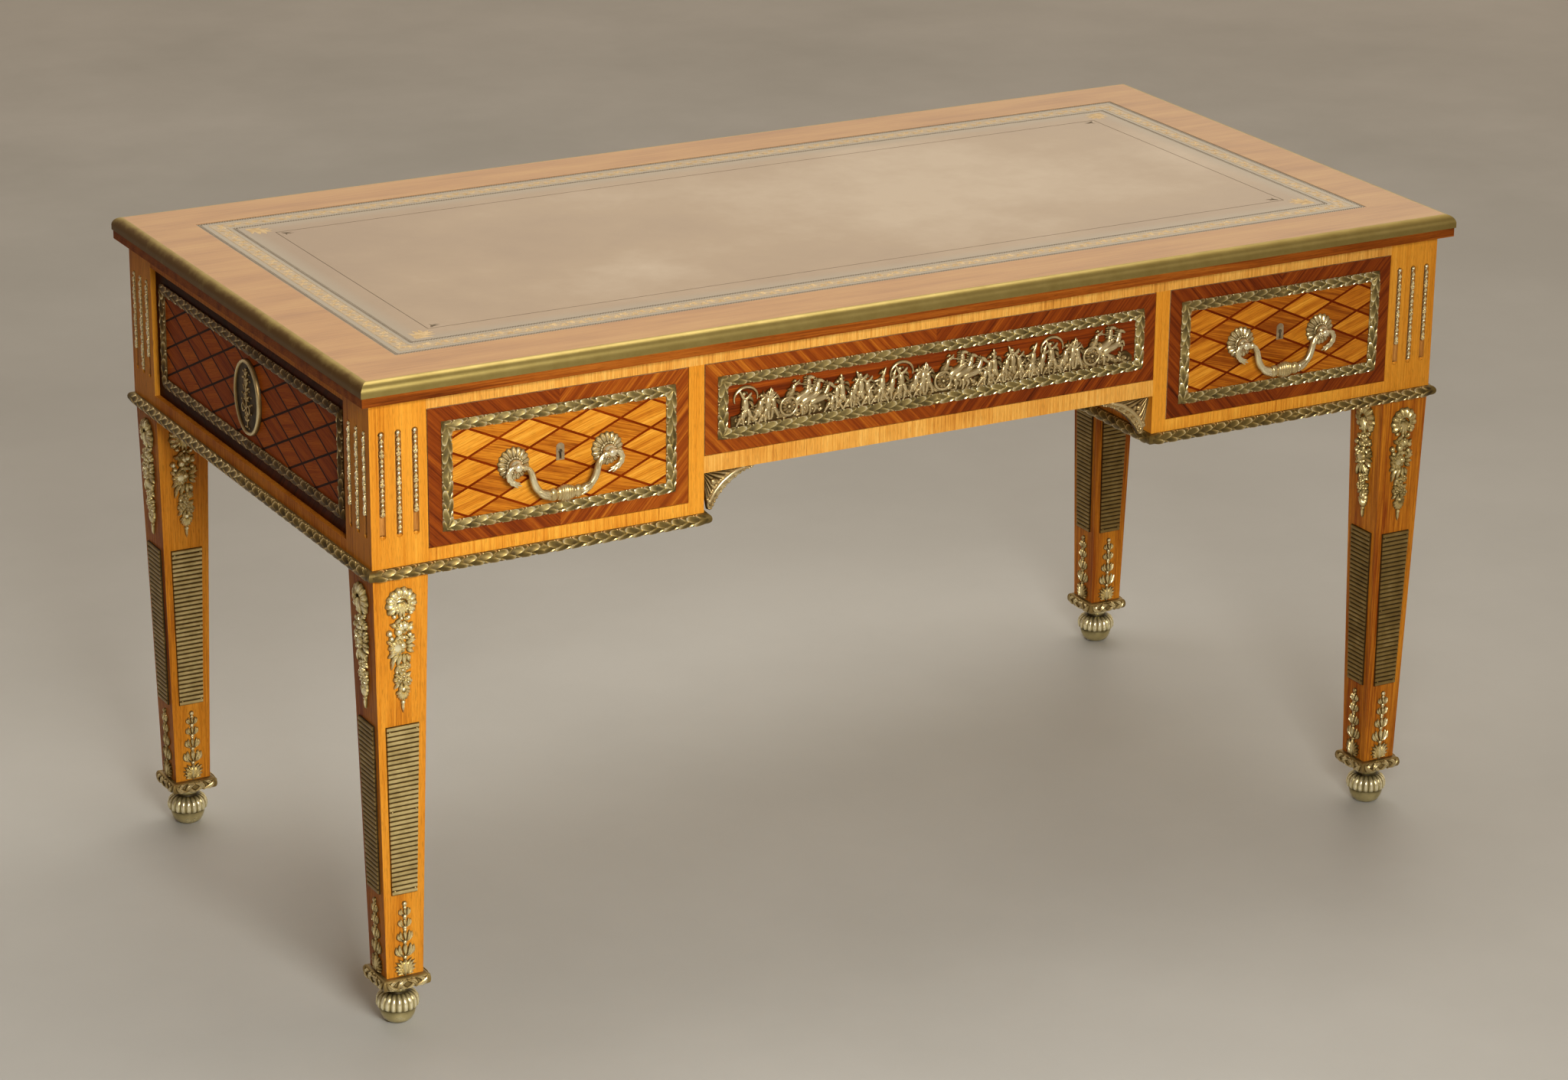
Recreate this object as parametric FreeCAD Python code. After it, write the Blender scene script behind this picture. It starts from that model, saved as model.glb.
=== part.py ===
import FreeCAD, Part
import math
import os

# A flat-topped writing desk on four square tapered legs, with three drawers in its frieze.
# Millimetres. X runs along the front, Y from front to back, Z up.
# The origin is on the floor, under the centre.

V = FreeCAD.Vector

# Overall sizes
TOP_WIDTH = 1450.0
TOP_DEPTH = 735.0
HEIGHT = 780.0
SIDE_OVERHANG = 15.0
FRONT_OVERHANG = 16.0
FRIEZE_HEIGHT = 203.0

# Desk top
EDGE_HEIGHT = 16.0
EDGE_DEPTH = 11.0
EDGE_UPRIGHT = 5.0
BOARD_THICKNESS = 11.0
BOARD_INSET = 1.5
SIDE_BORDER = 65.5
FRONT_BORDER = 69.0
LEATHER_THICKNESS = 1.6
LEATHER_SINK = 0.3
LEATHER_GROOVE = 0.4

# Case frame
POST = 68.0
RAIL_DEPTH = 40.0
TOP_RAIL = 16.5
BOTTOM_RAIL = 25.5
APRON_RAIL = 20.0
CENTRE_OPENING = 108.5
KNEEHOLE_WIDTH = 603.0
DIVIDER = 19.5
SIDE_RAIL_DEPTH = 22.0
PANEL_THICKNESS = 10.0
PANEL_RECESS = 7.0
PANEL_TONGUE = 4.0
FALSE_FRONT = 16.0
DUST_BOARD = 5.0
TENON_LENGTH = 22.0
STUB_LENGTH = 9.0
TENON_THICKNESS = 10.0
TENON_SETBACK = 6.0
TENON_SHOULDER = 2.0
FIT = 0.15

# Legs and feet
LEG_TOP = 66.0
LEG_FOOT = 45.0
COLLAR_WIDTH = 62.0
COLLAR_HEIGHT = 13.0
COLLAR_FLOOR = 4.0
COLLAR_ROUND = 4.5
FOOT_HEIGHT = 50.0
BALL_RADIUS = 25.0
BALL_FLAT = 9.0
NECK_RADIUS = 14.0
STUD_RADIUS = 4.0
STUD_LENGTH = 34.0

# Flutes in the corner posts and the brass rods that lie in them
FLUTE_RADIUS = 3.75
FLUTE_LENGTH = 124.0
FLUTE_PITCH = 20.0
FLUTE_DROP = 34.5
FLUTE_ROD_RADIUS = 2.7
MIDDLE_ROD_LENGTH = 120.0
OUTER_ROD_LENGTH = 98.0

# Drawers
DRAWER_GAP = 1.0
DRAWER_FRONT = 22.0
DRAWER_SIDE = 10.0
DRAWER_BOTTOM = 6.0
BOTTOM_RISE = 12.0
BOTTOM_GROOVE = 4.0
BACK_SPACE = 67.0
SIDE_DROP = 20.0
BACK_DROP = 6.0
RUNNER_WIDTH = 26.0
RUNNER_THICKNESS = 15.0
RUN_CLEARANCE = 0.3
GUIDE_WIDTH = 5.0
GUIDE_HEIGHT = 14.0
STOP_WIDTH = 30.0
STOP_DEPTH = 12.0
STOP_HEIGHT = 6.5
STOP_SPACING = 150.0

# Locks
KEY_DROP = 73.5
KEY_RADIUS = 2.6
KEY_SLOT_WIDTH = 2.8
KEY_SLOT_DROP = 9.0
KEY_PIN_RADIUS = 1.3
KEY_PIN_LENGTH = 7.0
LOCK_WIDTH = 50.0
LOCK_THICKNESS = 11.0
LOCK_BELOW_KEY = 20.0
BOLT_WIDTH = 18.0
BOLT_THICKNESS = 5.0
BOLT_LENGTH = 52.0
BOLT_CLEARANCE = 0.3
BOLT_THROW = 8.0
ESCUTCHEON_WIDTH = 10.0
ESCUTCHEON_HEIGHT = 20.0
ESCUTCHEON_DEPTH = 5.0
ESCUTCHEON_PROUD = 0.8

# Drop handles
HANDLE_DROP = 80.0
HANDLE_SPACING = 115.0
ROSETTE_RADIUS = 18.5
ROSETTE_RIM = 3.0
ROSETTE_DOME = 4.0
DOME_RADIUS = 14.0
HANDLE_POST_RADIUS = 6.0
PIVOT_REACH = 13.0
BAIL_RADIUS = 2.6
EYE_CLEARANCE = 0.06
BAIL_DROP = 38.0
BAIL_NECK = 15.5
BAIL_SPLAY = 3.0
BAIL_TOP_BEND = 6.0
BAIL_FOOT_BEND = 19.0
TAIL_REACH = 11.5
TAIL_BEND = 3.5
TAIL_DROP = 10.0
TAIL_RETURN = 15.0
TAIL_FALL = 12.0
KNOP_RADIUS = 6.2
KNOP_LENGTH = 15.0
KNOP_BEAD_RADIUS = 5.0
KNOP_BEAD_SPACING = 30.0
HANDLE_STUD_RADIUS = 2.5
NUT_FLATS = 9.0
NUT_THICKNESS = 4.0

# Laurel mouldings
ROD_HEIGHT = 13.0
ROD_DEPTH = 9.0
ROD_FLAT = 2.5
ROD_BELOW_CASE = 2.0
CROSSBAND = 16.0
FRAME_WIDTH = 12.0
FRAME_HEIGHT = 6.0
FRAME_FLAT = 1.0

# Relief mounts
PLAQUE_THICKNESS = 3.0
PLAQUE_HUMP = 9.0
PLAQUE_HUMPS = 9
PLAQUE_HEIGHT = 31.0
PLAQUE_END_GAP = 3.0
MEDALLION_WIDTH = 72.0
MEDALLION_HEIGHT = 91.0
MEDALLION_PLATE = 3.0
MEDALLION_RIM = 5.0
MEDALLION_RIM_HEIGHT = 5.5
BRACKET_WIDTH = 68.0
BRACKET_TIP = 4.0
BRACKET_FOOT = 8.0
BRACKET_HOLLOW = 0.23
BRACKET_THICKNESS = 10.0
BRACKET_SETBACK = 2.0

# Mounts on each leg face. A boss is (distance, radius, thickness).
# A pendant's bosses are measured down from the case, a husk drop's up from the collar.
PENDANT_BOSSES = ((28.5, 20.0, 5.0), (46.0, 12.0, 7.0), (60.0, 15.0, 7.0), (78.0, 18.0, 8.0),
                  (98.0, 15.0, 7.0), (120.0, 11.5, 6.0), (142.0, 9.5, 5.0), (156.0, 5.0, 4.0))
HUSK_BOSSES = ((84.5, 6.0, 3.0), (71.0, 7.0, 3.5), (56.0, 8.0, 4.0), (38.0, 10.0, 4.5),
               (20.0, 11.5, 5.0), (10.0, 8.5, 5.0))
RIBS_TOP_GAP = 16.5
RIBS_BOTTOM_GAP = 13.0
RIBS_MARGIN = 9.0
RIB_COUNT = 36
RIB_HEIGHT = 1.6
RIBS_PLATE = 1.5
STEM_WIDTH = 5.0
STEM_THICKNESS = 2.0

# Screws that hold the top down
SCREW_RADIUS = 2.0
SCREW_HEAD_RADIUS = 4.0
SCREW_HEAD_HEIGHT = 2.5
SCREW_BITE = 8.0
SCREW_SPACING = 440.0

# Levels and faces worked out from the sizes above
half_width = TOP_WIDTH / 2 - SIDE_OVERHANG
half_depth = TOP_DEPTH / 2 - FRONT_OVERHANG
edge_bottom = HEIGHT - EDGE_HEIGHT
case_top = edge_bottom - BOARD_THICKNESS
case_bottom = case_top - FRIEZE_HEIGHT
opening_top = case_top - TOP_RAIL
side_opening_bottom = case_bottom + BOTTOM_RAIL
centre_opening_bottom = opening_top - CENTRE_OPENING
apron_bottom = centre_opening_bottom - APRON_RAIL
post_x = half_width - POST / 2
post_y = half_depth - POST / 2
post_inner_x = half_width - POST
post_inner_y = half_depth - POST
knee_x = KNEEHOLE_WIDTH / 2
divider_x = knee_x + DIVIDER
rail_inner_y = half_depth - RAIL_DEPTH
rod_bottom = case_bottom - ROD_BELOW_CASE
rod_top = rod_bottom + ROD_HEIGHT
collar_top = FOOT_HEIGHT + COLLAR_HEIGHT
leg_bottom = FOOT_HEIGHT + COLLAR_FLOOR
taper_length = case_bottom - collar_top
taper_slope = (LEG_TOP - LEG_FOOT) / 2 / taper_length
pendant = [(case_bottom - down, radius, thick) for down, radius, thick in PENDANT_BOSSES]
husk_drop = [(collar_top + up, radius, thick) for up, radius, thick in HUSK_BOSSES]
ribs_top = pendant[-1][0] - pendant[-1][1] - RIBS_TOP_GAP
ribs_bottom = husk_drop[0][0] + husk_drop[0][1] + RIBS_BOTTOM_GAP
ribs_length = ribs_top - ribs_bottom
pivot_y = -half_depth - PIVOT_REACH
handle_z = opening_top - HANDLE_DROP
key_z = opening_top - KEY_DROP
eye_radius = BAIL_RADIUS + EYE_CLEARANCE
side_drawer_x = (divider_x + post_inner_x) / 2


def box(x0, x1, y0, y1, z0, z1):
    low = V(min(x0, x1), min(y0, y1), min(z0, z1))
    return Part.makeBox(abs(x1 - x0), abs(y1 - y0), abs(z1 - z0), low)


def solid(spec):
    return box(*spec)


def span(middle, width):
    return middle - width / 2, middle + width / 2


def grown(spec, by=FIT):
    """The box of a spec made larger by a clearance on every side."""
    x0, x1, y0, y1, z0, z1 = spec
    return box(x0 - by, x1 + by, y0 - by, y1 + by, z0 - by, z1 + by)


def mirror_x(shape):
    return shape.mirror(V(0, 0, 0), V(1, 0, 0))


def mirror_y(shape):
    return shape.mirror(V(0, 0, 0), V(0, 1, 0))


def both_x(shapes):
    return list(shapes) + [mirror_x(s) for s in shapes]


def both_y(shapes):
    return list(shapes) + [mirror_y(s) for s in shapes]


def fused(shapes):
    shape = shapes[0]
    if len(shapes) > 1:
        shape = shape.fuse(shapes[1:])
    return shape.removeSplitter()


def save(name, shapes):
    solids = [s for shape in shapes for s in shape.Solids]
    assert solids and all(s.isValid() and s.Volume > 0 for s in solids), name
    Part.makeCompound(solids).exportStep(os.path.join("parts", name + ".step"))
    print(f"{name}: {len(solids)} solids, {sum(s.Volume for s in solids) / 1000:.1f} cm3")


def outline(place, start, steps):
    """A closed face. A step of one point is a line, of two points an arc through the first to the second."""
    edges = []
    here = place(*start)
    for step in list(steps) + [(start,)]:
        points = [place(*p) for p in step]
        if len(points) == 2:
            edges.append(Part.Arc(here, points[0], points[1]).toShape())
        elif (points[-1] - here).Length > 1e-6:
            edges.append(Part.LineSegment(here, points[-1]).toShape())
        here = points[-1]
    return Part.Face(Part.Wire(edges))


def bent_rod(points, bends, radius):
    """A round rod of straight runs through points, with a tangent bend at each inner point."""
    runs = []
    here = points[0]
    for before, corner, after, bend in zip(points, points[1:], points[2:], bends):
        back = (before - corner).normalize()
        ahead = (after - corner).normalize()
        half_angle = back.getAngle(ahead) / 2
        reach = bend / math.tan(half_angle)
        centre = corner + (back + ahead).normalize() * (bend / math.sin(half_angle))
        start = corner + back * reach
        runs.append(Part.makeCylinder(radius, (start - here).Length, here, back * -1))
        disc = Part.Face(Part.Wire(Part.makeCircle(radius, start, back)))
        runs.append(disc.revolve(centre, ahead.cross(back), math.degrees(math.pi - 2 * half_angle)))
        here = corner + ahead * reach
    last = points[-1] - here
    runs.append(Part.makeCylinder(radius, last.Length, here, last))
    return fused(runs)


def mitred_ring(half_x, half_y, depth, height, start, steps):
    """Four mitred bars around a rectangle in the XY plane. Section points are (distance outward, height)."""
    bars = []
    for turn in range(4):
        ix, iy = (half_x, half_y) if turn % 2 == 0 else (half_y, half_x)
        ox, oy = ix + depth, iy + depth
        face = outline(lambda d, h: V(-ox, -iy - d, h), start, steps)
        bar = face.extrude(V(2 * ox, 0, 0))
        corners = [V(-ix, -iy, -1), V(ix, -iy, -1), V(ox, -oy, -1), V(-ox, -oy, -1)]
        wedge = Part.Face(Part.makePolygon(corners + corners[:1])).extrude(V(0, 0, height + 2))
        bar = bar.common(wedge)
        bar.rotate(V(0, 0, 0), V(0, 0, 1), 90 * turn)
        bars.append(bar)
    return bars


def laurel_frame(x0, x1, z0, z1, y):
    """A mitred laurel frame on an upright face that looks towards -Y. Its outside is at x0, x1, z0 and z1."""
    half_x = (x1 - x0) / 2 - FRAME_WIDTH
    half_z = (z1 - z0) / 2 - FRAME_WIDTH
    crown = ((FRAME_WIDTH / 2, FRAME_HEIGHT), (FRAME_WIDTH, FRAME_FLAT))
    bars = mitred_ring(half_x, half_z, FRAME_WIDTH, FRAME_HEIGHT, (0, 0),
                       [((0, FRAME_FLAT),), crown, ((FRAME_WIDTH, 0),)])
    for bar in bars:
        bar.rotate(V(0, 0, 0), V(1, 0, 0), 90)
        bar.translate(V((x0 + x1) / 2, y, (z0 + z1) / 2))
    return bars


def rail_x(spec, left_tenon, right_tenon, show_face):
    """A rail along X with a tenon of the given length on each end. Returns the rail and its tenons' specs."""
    x0, x1, y0, y1, z0, z1 = spec
    inward = 1 if show_face < 0 else -1
    ya = show_face + inward * TENON_SETBACK
    yb = ya + inward * TENON_THICKNESS
    cross = (min(ya, yb), max(ya, yb), z0 + TENON_SHOULDER, z1 - TENON_SHOULDER)
    tenons = [(x0 - left_tenon, x0, *cross), (x1, x1 + right_tenon, *cross)]
    return fused([solid(spec)] + [solid(t) for t in tenons]), tenons


def leg_half(z):
    """Half the width of a leg's taper at a height."""
    return LEG_TOP / 2 - (case_bottom - z) * taper_slope


def on_leg_faces(shape, z):
    """A mount at a height on every face of every leg. It is modelled on the XZ plane, facing -Y."""
    mounts = []
    for x in (-post_x, post_x):
        for y in (-post_y, post_y):
            for turn in range(4):
                mount = shape.copy()
                mount.rotate(V(0, 0, 0), V(1, 0, 0), math.degrees(math.atan(taper_slope)))
                mount.translate(V(0, -leg_half(z), z))
                mount.rotate(V(0, 0, 0), V(0, 0, 1), 90 * turn)
                mount.translate(V(x, y, 0))
                mounts.append(mount)
    return mounts


def boss_mount(bosses):
    """A leg mount as a run of round bosses on a stem, hanging from the middle of the first boss."""
    first, last = bosses[0][0], bosses[-1][0]
    discs = [Part.makeCylinder(r, t, V(0, 0, z - first), V(0, -1, 0)) for z, r, t in bosses]
    stem = box(*span(0, STEM_WIDTH), -STEM_THICKNESS, 0, last - first, 0)
    return fused(discs + [stem])


def capsule(radius, length):
    """A round-ended rod of the given overall length, hanging down from the origin."""
    body = Part.makeCylinder(radius, length - 2 * radius, V(0, 0, radius - length))
    ends = [Part.makeSphere(radius, V(0, 0, -radius)), Part.makeSphere(radius, V(0, 0, radius - length))]
    return fused([body] + ends)


def flute_places():
    """The flutes of the front left post: (x, y, steps from the middle flute, direction into the post)."""
    places = []
    for step in (-1, 0, 1):
        places.append((-post_x + step * FLUTE_PITCH, -half_depth, step, V(0, 1, 0)))
        places.append((-half_width, -post_y + step * FLUTE_PITCH, step, V(1, 0, 0)))
    return places


def leg(mortises):
    """The front left leg: fluted post, tapered shaft and the spigot that stands in the brass collar."""
    block = box(-half_width, -post_inner_x, -half_depth, -post_inner_y, case_bottom, case_top)
    rings = []
    for half, z in ((LEG_TOP / 2, case_bottom), (LEG_FOOT / 2, collar_top)):
        corners = [V(-half, -half, z), V(half, -half, z), V(half, half, z), V(-half, half, z)]
        rings.append(Part.makePolygon(corners + corners[:1]))
    shaft = Part.makeLoft(rings, True, True)
    shaft.translate(V(-post_x, -post_y, 0))
    half = LEG_FOOT / 2
    spigot = box(-post_x - half, -post_x + half, -post_y - half, -post_y + half, leg_bottom, collar_top)
    tools = list(mortises)
    for x, y, step, inward in flute_places():
        flute = capsule(FLUTE_RADIUS, FLUTE_LENGTH)
        flute.translate(V(x, y, case_top - FLUTE_DROP))
        tools.append(flute)
    bore_top = FOOT_HEIGHT + STUD_LENGTH + FIT
    tools.append(Part.makeCylinder(STUD_RADIUS + FIT, bore_top - leg_bottom, V(-post_x, -post_y, leg_bottom)))
    return fused([block, shaft, spigot]).cut(tools)


def flute_rods():
    """The brass rods in the front left post's flutes, each lying on the bottom of its flute."""
    rods = []
    for x, y, step, inward in flute_places():
        length = MIDDLE_ROD_LENGTH if step == 0 else OUTER_ROD_LENGTH
        rod = capsule(FLUTE_ROD_RADIUS, length)
        sink = FLUTE_RADIUS - FLUTE_ROD_RADIUS - FIT
        top_gap = FLUTE_RADIUS - FLUTE_ROD_RADIUS
        rod.translate(V(x, y, case_top - FLUTE_DROP - top_gap) + inward * sink)
        rods.append(rod)
    return rods


def collar():
    """The brass tray under a leg."""
    half = COLLAR_WIDTH / 2
    tray = box(-half, half, -half, half, FOOT_HEIGHT, collar_top)
    level = [e for e in tray.Edges if abs(e.Vertexes[0].Z - e.Vertexes[1].Z) < 1e-6]
    tray = tray.makeFillet(COLLAR_ROUND, level)
    inner = LEG_FOOT / 2 + FIT
    seat = box(-inner, inner, -inner, inner, leg_bottom, collar_top + 1)
    hole = Part.makeCylinder(STUD_RADIUS + FIT, COLLAR_HEIGHT, V(0, 0, FOOT_HEIGHT))
    return tray.cut([seat, hole])


def ball_foot():
    """A ball foot with a small flat sole, a neck and the stud that screws up into the leg."""
    centre = math.sqrt(BALL_RADIUS ** 2 - BALL_FLAT ** 2)
    ball = Part.makeSphere(BALL_RADIUS, V(0, 0, centre))
    across = span(0, 2 * BALL_RADIUS)
    below = box(*across, *across, -BALL_RADIUS, 0)
    above = box(*across, *across, FOOT_HEIGHT, FOOT_HEIGHT + 2 * BALL_RADIUS)
    neck = Part.makeCylinder(NECK_RADIUS, FOOT_HEIGHT - centre, V(0, 0, centre))
    stud = Part.makeCylinder(STUD_RADIUS, STUD_LENGTH, V(0, 0, FOOT_HEIGHT))
    return fused([ball.cut([below, above]), neck, stud])


def ribbed_plate():
    """A ribbed plate between a leg's pendant and its husk drop, narrowing with the leg's taper."""
    pitch = ribs_length / RIB_COUNT
    steps = [((0, -RIBS_PLATE),)]
    for i in range(RIB_COUNT):
        crest = (-(i + 0.5) * pitch, -RIBS_PLATE - RIB_HEIGHT)
        steps.append((crest, (-(i + 1) * pitch, -RIBS_PLATE)))
    steps.append(((-ribs_length, 0),))
    top = leg_half(ribs_top) - RIBS_MARGIN
    bottom = leg_half(ribs_bottom) - RIBS_MARGIN
    reach = top + 1
    ribs = outline(lambda w, n: V(-reach, n, w), (0, 0), steps).extrude(V(2 * reach, 0, 0))
    depth = RIBS_PLATE + RIB_HEIGHT + 1
    corners = [V(-top, 1, 0), V(top, 1, 0), V(bottom, 1, -ribs_length), V(-bottom, 1, -ribs_length)]
    blank = Part.Face(Part.makePolygon(corners + corners[:1])).extrude(V(0, -depth - 1, 0))
    return ribs.common(blank)


def medallion():
    """An oval plate with a raised rim, on the YZ plane, facing -X."""
    def oval(inset, thickness):
        width = MEDALLION_WIDTH / 2 - inset
        height = MEDALLION_HEIGHT / 2 - inset
        edge = Part.Ellipse(V(0, 0, height), V(0, width, 0), V(0, 0, 0)).toShape()
        face = Part.Face(Part.Wire(edge))
        prism = face.extrude(V(thickness, 0, 0))
        prism.translate(V(-thickness, 0, 0))
        return prism
    rim = oval(0, MEDALLION_RIM_HEIGHT).cut(oval(MEDALLION_RIM, MEDALLION_RIM_HEIGHT))
    return fused([oval(0, MEDALLION_PLATE), rim])


def bracket():
    """The front right spandrel under the apron: a corner piece with a hollow edge."""
    top = apron_bottom
    foot = rod_top + FIT
    tip = (knee_x - BRACKET_WIDTH, top - BRACKET_TIP)
    heel = (knee_x - BRACKET_FOOT, foot)
    x, z = (tip[0] + heel[0]) / 2, (tip[1] + heel[1]) / 2
    hollow = (x + (knee_x - x) * BRACKET_HOLLOW, z + (top - z) * BRACKET_HOLLOW)
    y = -half_depth + BRACKET_SETBACK
    face = outline(lambda x, z: V(x, y, z), (knee_x, top),
                   [((knee_x - BRACKET_WIDTH, top),), (tip,), (hollow, heel), ((knee_x, foot),)])
    return face.extrude(V(0, BRACKET_THICKNESS, 0))


def plaque(x0, x1, z0, y):
    """The relief strip inside the middle drawer's frame, with a row of humps along its top."""
    pitch = (x1 - x0) / PLAQUE_HUMPS
    valley = z0 + PLAQUE_HEIGHT
    steps = [((x1, z0),), ((x1, valley),)]
    for i in range(PLAQUE_HUMPS):
        crest = (x1 - (i + 0.5) * pitch, valley + PLAQUE_HUMP)
        steps.append((crest, (x1 - (i + 1) * pitch, valley)))
    return outline(lambda x, z: V(x, y, z), (x0, z0), steps).extrude(V(0, -PLAQUE_THICKNESS, 0))


def rosette(x):
    """A handle's back plate with its post, eye and threaded stud."""
    face_y = -half_depth
    rim = Part.makeCylinder(ROSETTE_RADIUS, ROSETTE_RIM, V(x, face_y, handle_z), V(0, -1, 0))
    dome = Part.makeCone(DOME_RADIUS, HANDLE_POST_RADIUS, ROSETTE_DOME,
                         V(x, face_y - ROSETTE_RIM, handle_z), V(0, -1, 0))
    post = Part.makeCylinder(HANDLE_POST_RADIUS, PIVOT_REACH, V(x, face_y, handle_z), V(0, -1, 0))
    knob = Part.makeSphere(HANDLE_POST_RADIUS, V(x, pivot_y, handle_z))
    stud_length = DRAWER_FRONT + NUT_THICKNESS + 1
    stud = Part.makeCylinder(HANDLE_STUD_RADIUS, stud_length, V(x, face_y, handle_z), V(0, 1, 0))
    eye_length = 2 * HANDLE_POST_RADIUS + 2
    eye = Part.makeCylinder(eye_radius, eye_length, V(x - eye_length / 2, pivot_y, handle_z), V(1, 0, 0))
    return fused([rim, dome, post, knob, stud]).cut(eye)


def nut(x):
    """The hexagonal nut on a handle's stud, inside the drawer."""
    inner_y = -half_depth + DRAWER_FRONT
    corner = NUT_FLATS / math.sqrt(3)
    turns = [math.radians(60 * k) for k in range(7)]
    points = [V(x + corner * math.cos(t), inner_y, handle_z + corner * math.sin(t)) for t in turns]
    hexagon = Part.Face(Part.makePolygon(points)).extrude(V(0, NUT_THICKNESS, 0))
    bore = Part.makeCylinder(HANDLE_STUD_RADIUS + FIT, NUT_THICKNESS, V(x, inner_y, handle_z), V(0, 1, 0))
    return hexagon.cut(bore)


def bail(x):
    """A drop handle: a bent rod that passes through both eyes, with a knop at its foot and curled tails."""
    eye_x = HANDLE_SPACING / 2
    bend_x = eye_x - BAIL_NECK
    foot_x = bend_x - BAIL_SPLAY
    tail_x = eye_x + TAIL_REACH
    right = [(tail_x - TAIL_RETURN, -TAIL_DROP - TAIL_FALL), (tail_x, -TAIL_DROP), (tail_x, 0),
             (bend_x, 0), (foot_x, -BAIL_DROP)]
    route = right + [(-u, w) for u, w in reversed(right)]
    bends = [TAIL_BEND, TAIL_BEND, BAIL_TOP_BEND, BAIL_FOOT_BEND]
    points = [V(x + u, pivot_y, handle_z + w) for u, w in route]
    rod = bent_rod(points, bends + bends[::-1], BAIL_RADIUS)
    foot_z = handle_z - BAIL_DROP
    knop = Part.makeCylinder(KNOP_RADIUS, KNOP_LENGTH, V(x - KNOP_LENGTH / 2, pivot_y, foot_z), V(1, 0, 0))
    rims = [e for e in knop.Edges if e.Curve.TypeId == "Part::GeomCircle"]
    knop = knop.makeFillet(min(KNOP_RADIUS, KNOP_LENGTH) / 3, rims)
    bead_places = [V(bead_x, pivot_y, foot_z) for bead_x in span(x, KNOP_BEAD_SPACING)]
    beads = [Part.makeSphere(KNOP_BEAD_RADIUS, place, V(1, 0, 0)) for place in bead_places]
    return fused([rod, knop] + beads)


def keyhole(x, y0, y1):
    """The keyhole's shape from y0 to y1, for cutting."""
    barrel = Part.makeCylinder(KEY_RADIUS, y1 - y0, V(x, y0, key_z), V(0, 1, 0))
    slot = box(*span(x, KEY_SLOT_WIDTH), y0, y1, key_z - KEY_SLOT_DROP, key_z)
    return fused([barrel, slot])


def escutcheon(x, clearance=0.0):
    """The arch-topped keyhole plate, let into the drawer front. A clearance makes its seat instead."""
    half = ESCUTCHEON_WIDTH / 2 + clearance
    bottom = key_z - ESCUTCHEON_HEIGHT / 2 - clearance
    shoulder = key_z + ESCUTCHEON_HEIGHT / 2 - ESCUTCHEON_WIDTH / 2
    y = -half_depth - ESCUTCHEON_PROUD
    steps = [((x + half, bottom),), ((x + half, shoulder),), ((x, shoulder + half), (x - half, shoulder))]
    face = outline(lambda u, w: V(u, y, w), (x - half, bottom), steps)
    return face.extrude(V(0, ESCUTCHEON_PROUD + ESCUTCHEON_DEPTH + clearance, 0))


def lock(x, front):
    """A drawer lock at x: its pocket's spec, case, bolt and the mortise that the bolt shoots up into."""
    back_y, front_top = front[3], front[5]
    case = (*span(x, LOCK_WIDTH), back_y - LOCK_THICKNESS, back_y, key_z - LOCK_BELOW_KEY, front_top)
    middle_y = back_y - LOCK_THICKNESS / 2
    bolt_top = front_top - BOLT_CLEARANCE
    bolt = (*span(x, BOLT_WIDTH), *span(middle_y, BOLT_THICKNESS), bolt_top - BOLT_LENGTH, bolt_top)
    channel = grown(bolt, BOLT_CLEARANCE)
    pin = Part.makeCylinder(KEY_PIN_RADIUS, KEY_PIN_LENGTH, V(x, case[2], key_z), V(0, -1, 0))
    body = fused([solid(case).cut(channel), pin])
    mortise = grown((*bolt[:4], opening_top - BOLT_CLEARANCE, bolt_top + BOLT_THROW), BOLT_CLEARANCE)
    return case, body, solid(bolt), mortise


def drawer(x0, x1, z0, z1):
    """A drawer's boards in an opening: the front's spec, the front, the sides with the back, the bottom."""
    y_front, y_back = -half_depth + DRAWER_FRONT, half_depth - FALSE_FRONT - BACK_SPACE
    front = (x0 + DRAWER_GAP, x1 - DRAWER_GAP, -half_depth, y_front, z0 + DRAWER_GAP, z1 - DRAWER_GAP)
    outer0 = x0 + GUIDE_WIDTH + RUN_CLEARANCE
    outer1 = x1 - GUIDE_WIDTH - RUN_CLEARANCE
    inner0, inner1 = outer0 + DRAWER_SIDE, outer1 - DRAWER_SIDE
    low, high = z0 + RUN_CLEARANCE, z1 - SIDE_DROP
    bottom_low = z0 + BOTTOM_RISE
    bottom_high = bottom_low + DRAWER_BOTTOM
    bottom = (inner0 - BOTTOM_GROOVE, inner1 + BOTTOM_GROOVE, y_front - BOTTOM_GROOVE, y_back,
              bottom_low, bottom_high)
    groove = grown(bottom)
    sides = [box(outer0, inner0, y_front, y_back, low, high), box(inner1, outer1, y_front, y_back, low, high)]
    back = box(inner0, inner1, y_back - DRAWER_SIDE, y_back, bottom_high, high - BACK_DROP)
    return front, solid(front).cut(groove), [s.cut(groove) for s in sides] + [back], solid(bottom)


def drawer_frame_corners(front):
    """The outside of the laurel frame on a drawer front: x0, x1, z0, z1."""
    return front[0] + CROSSBAND, front[1] - CROSSBAND, front[4] + CROSSBAND, front[5] - CROSSBAND


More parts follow.
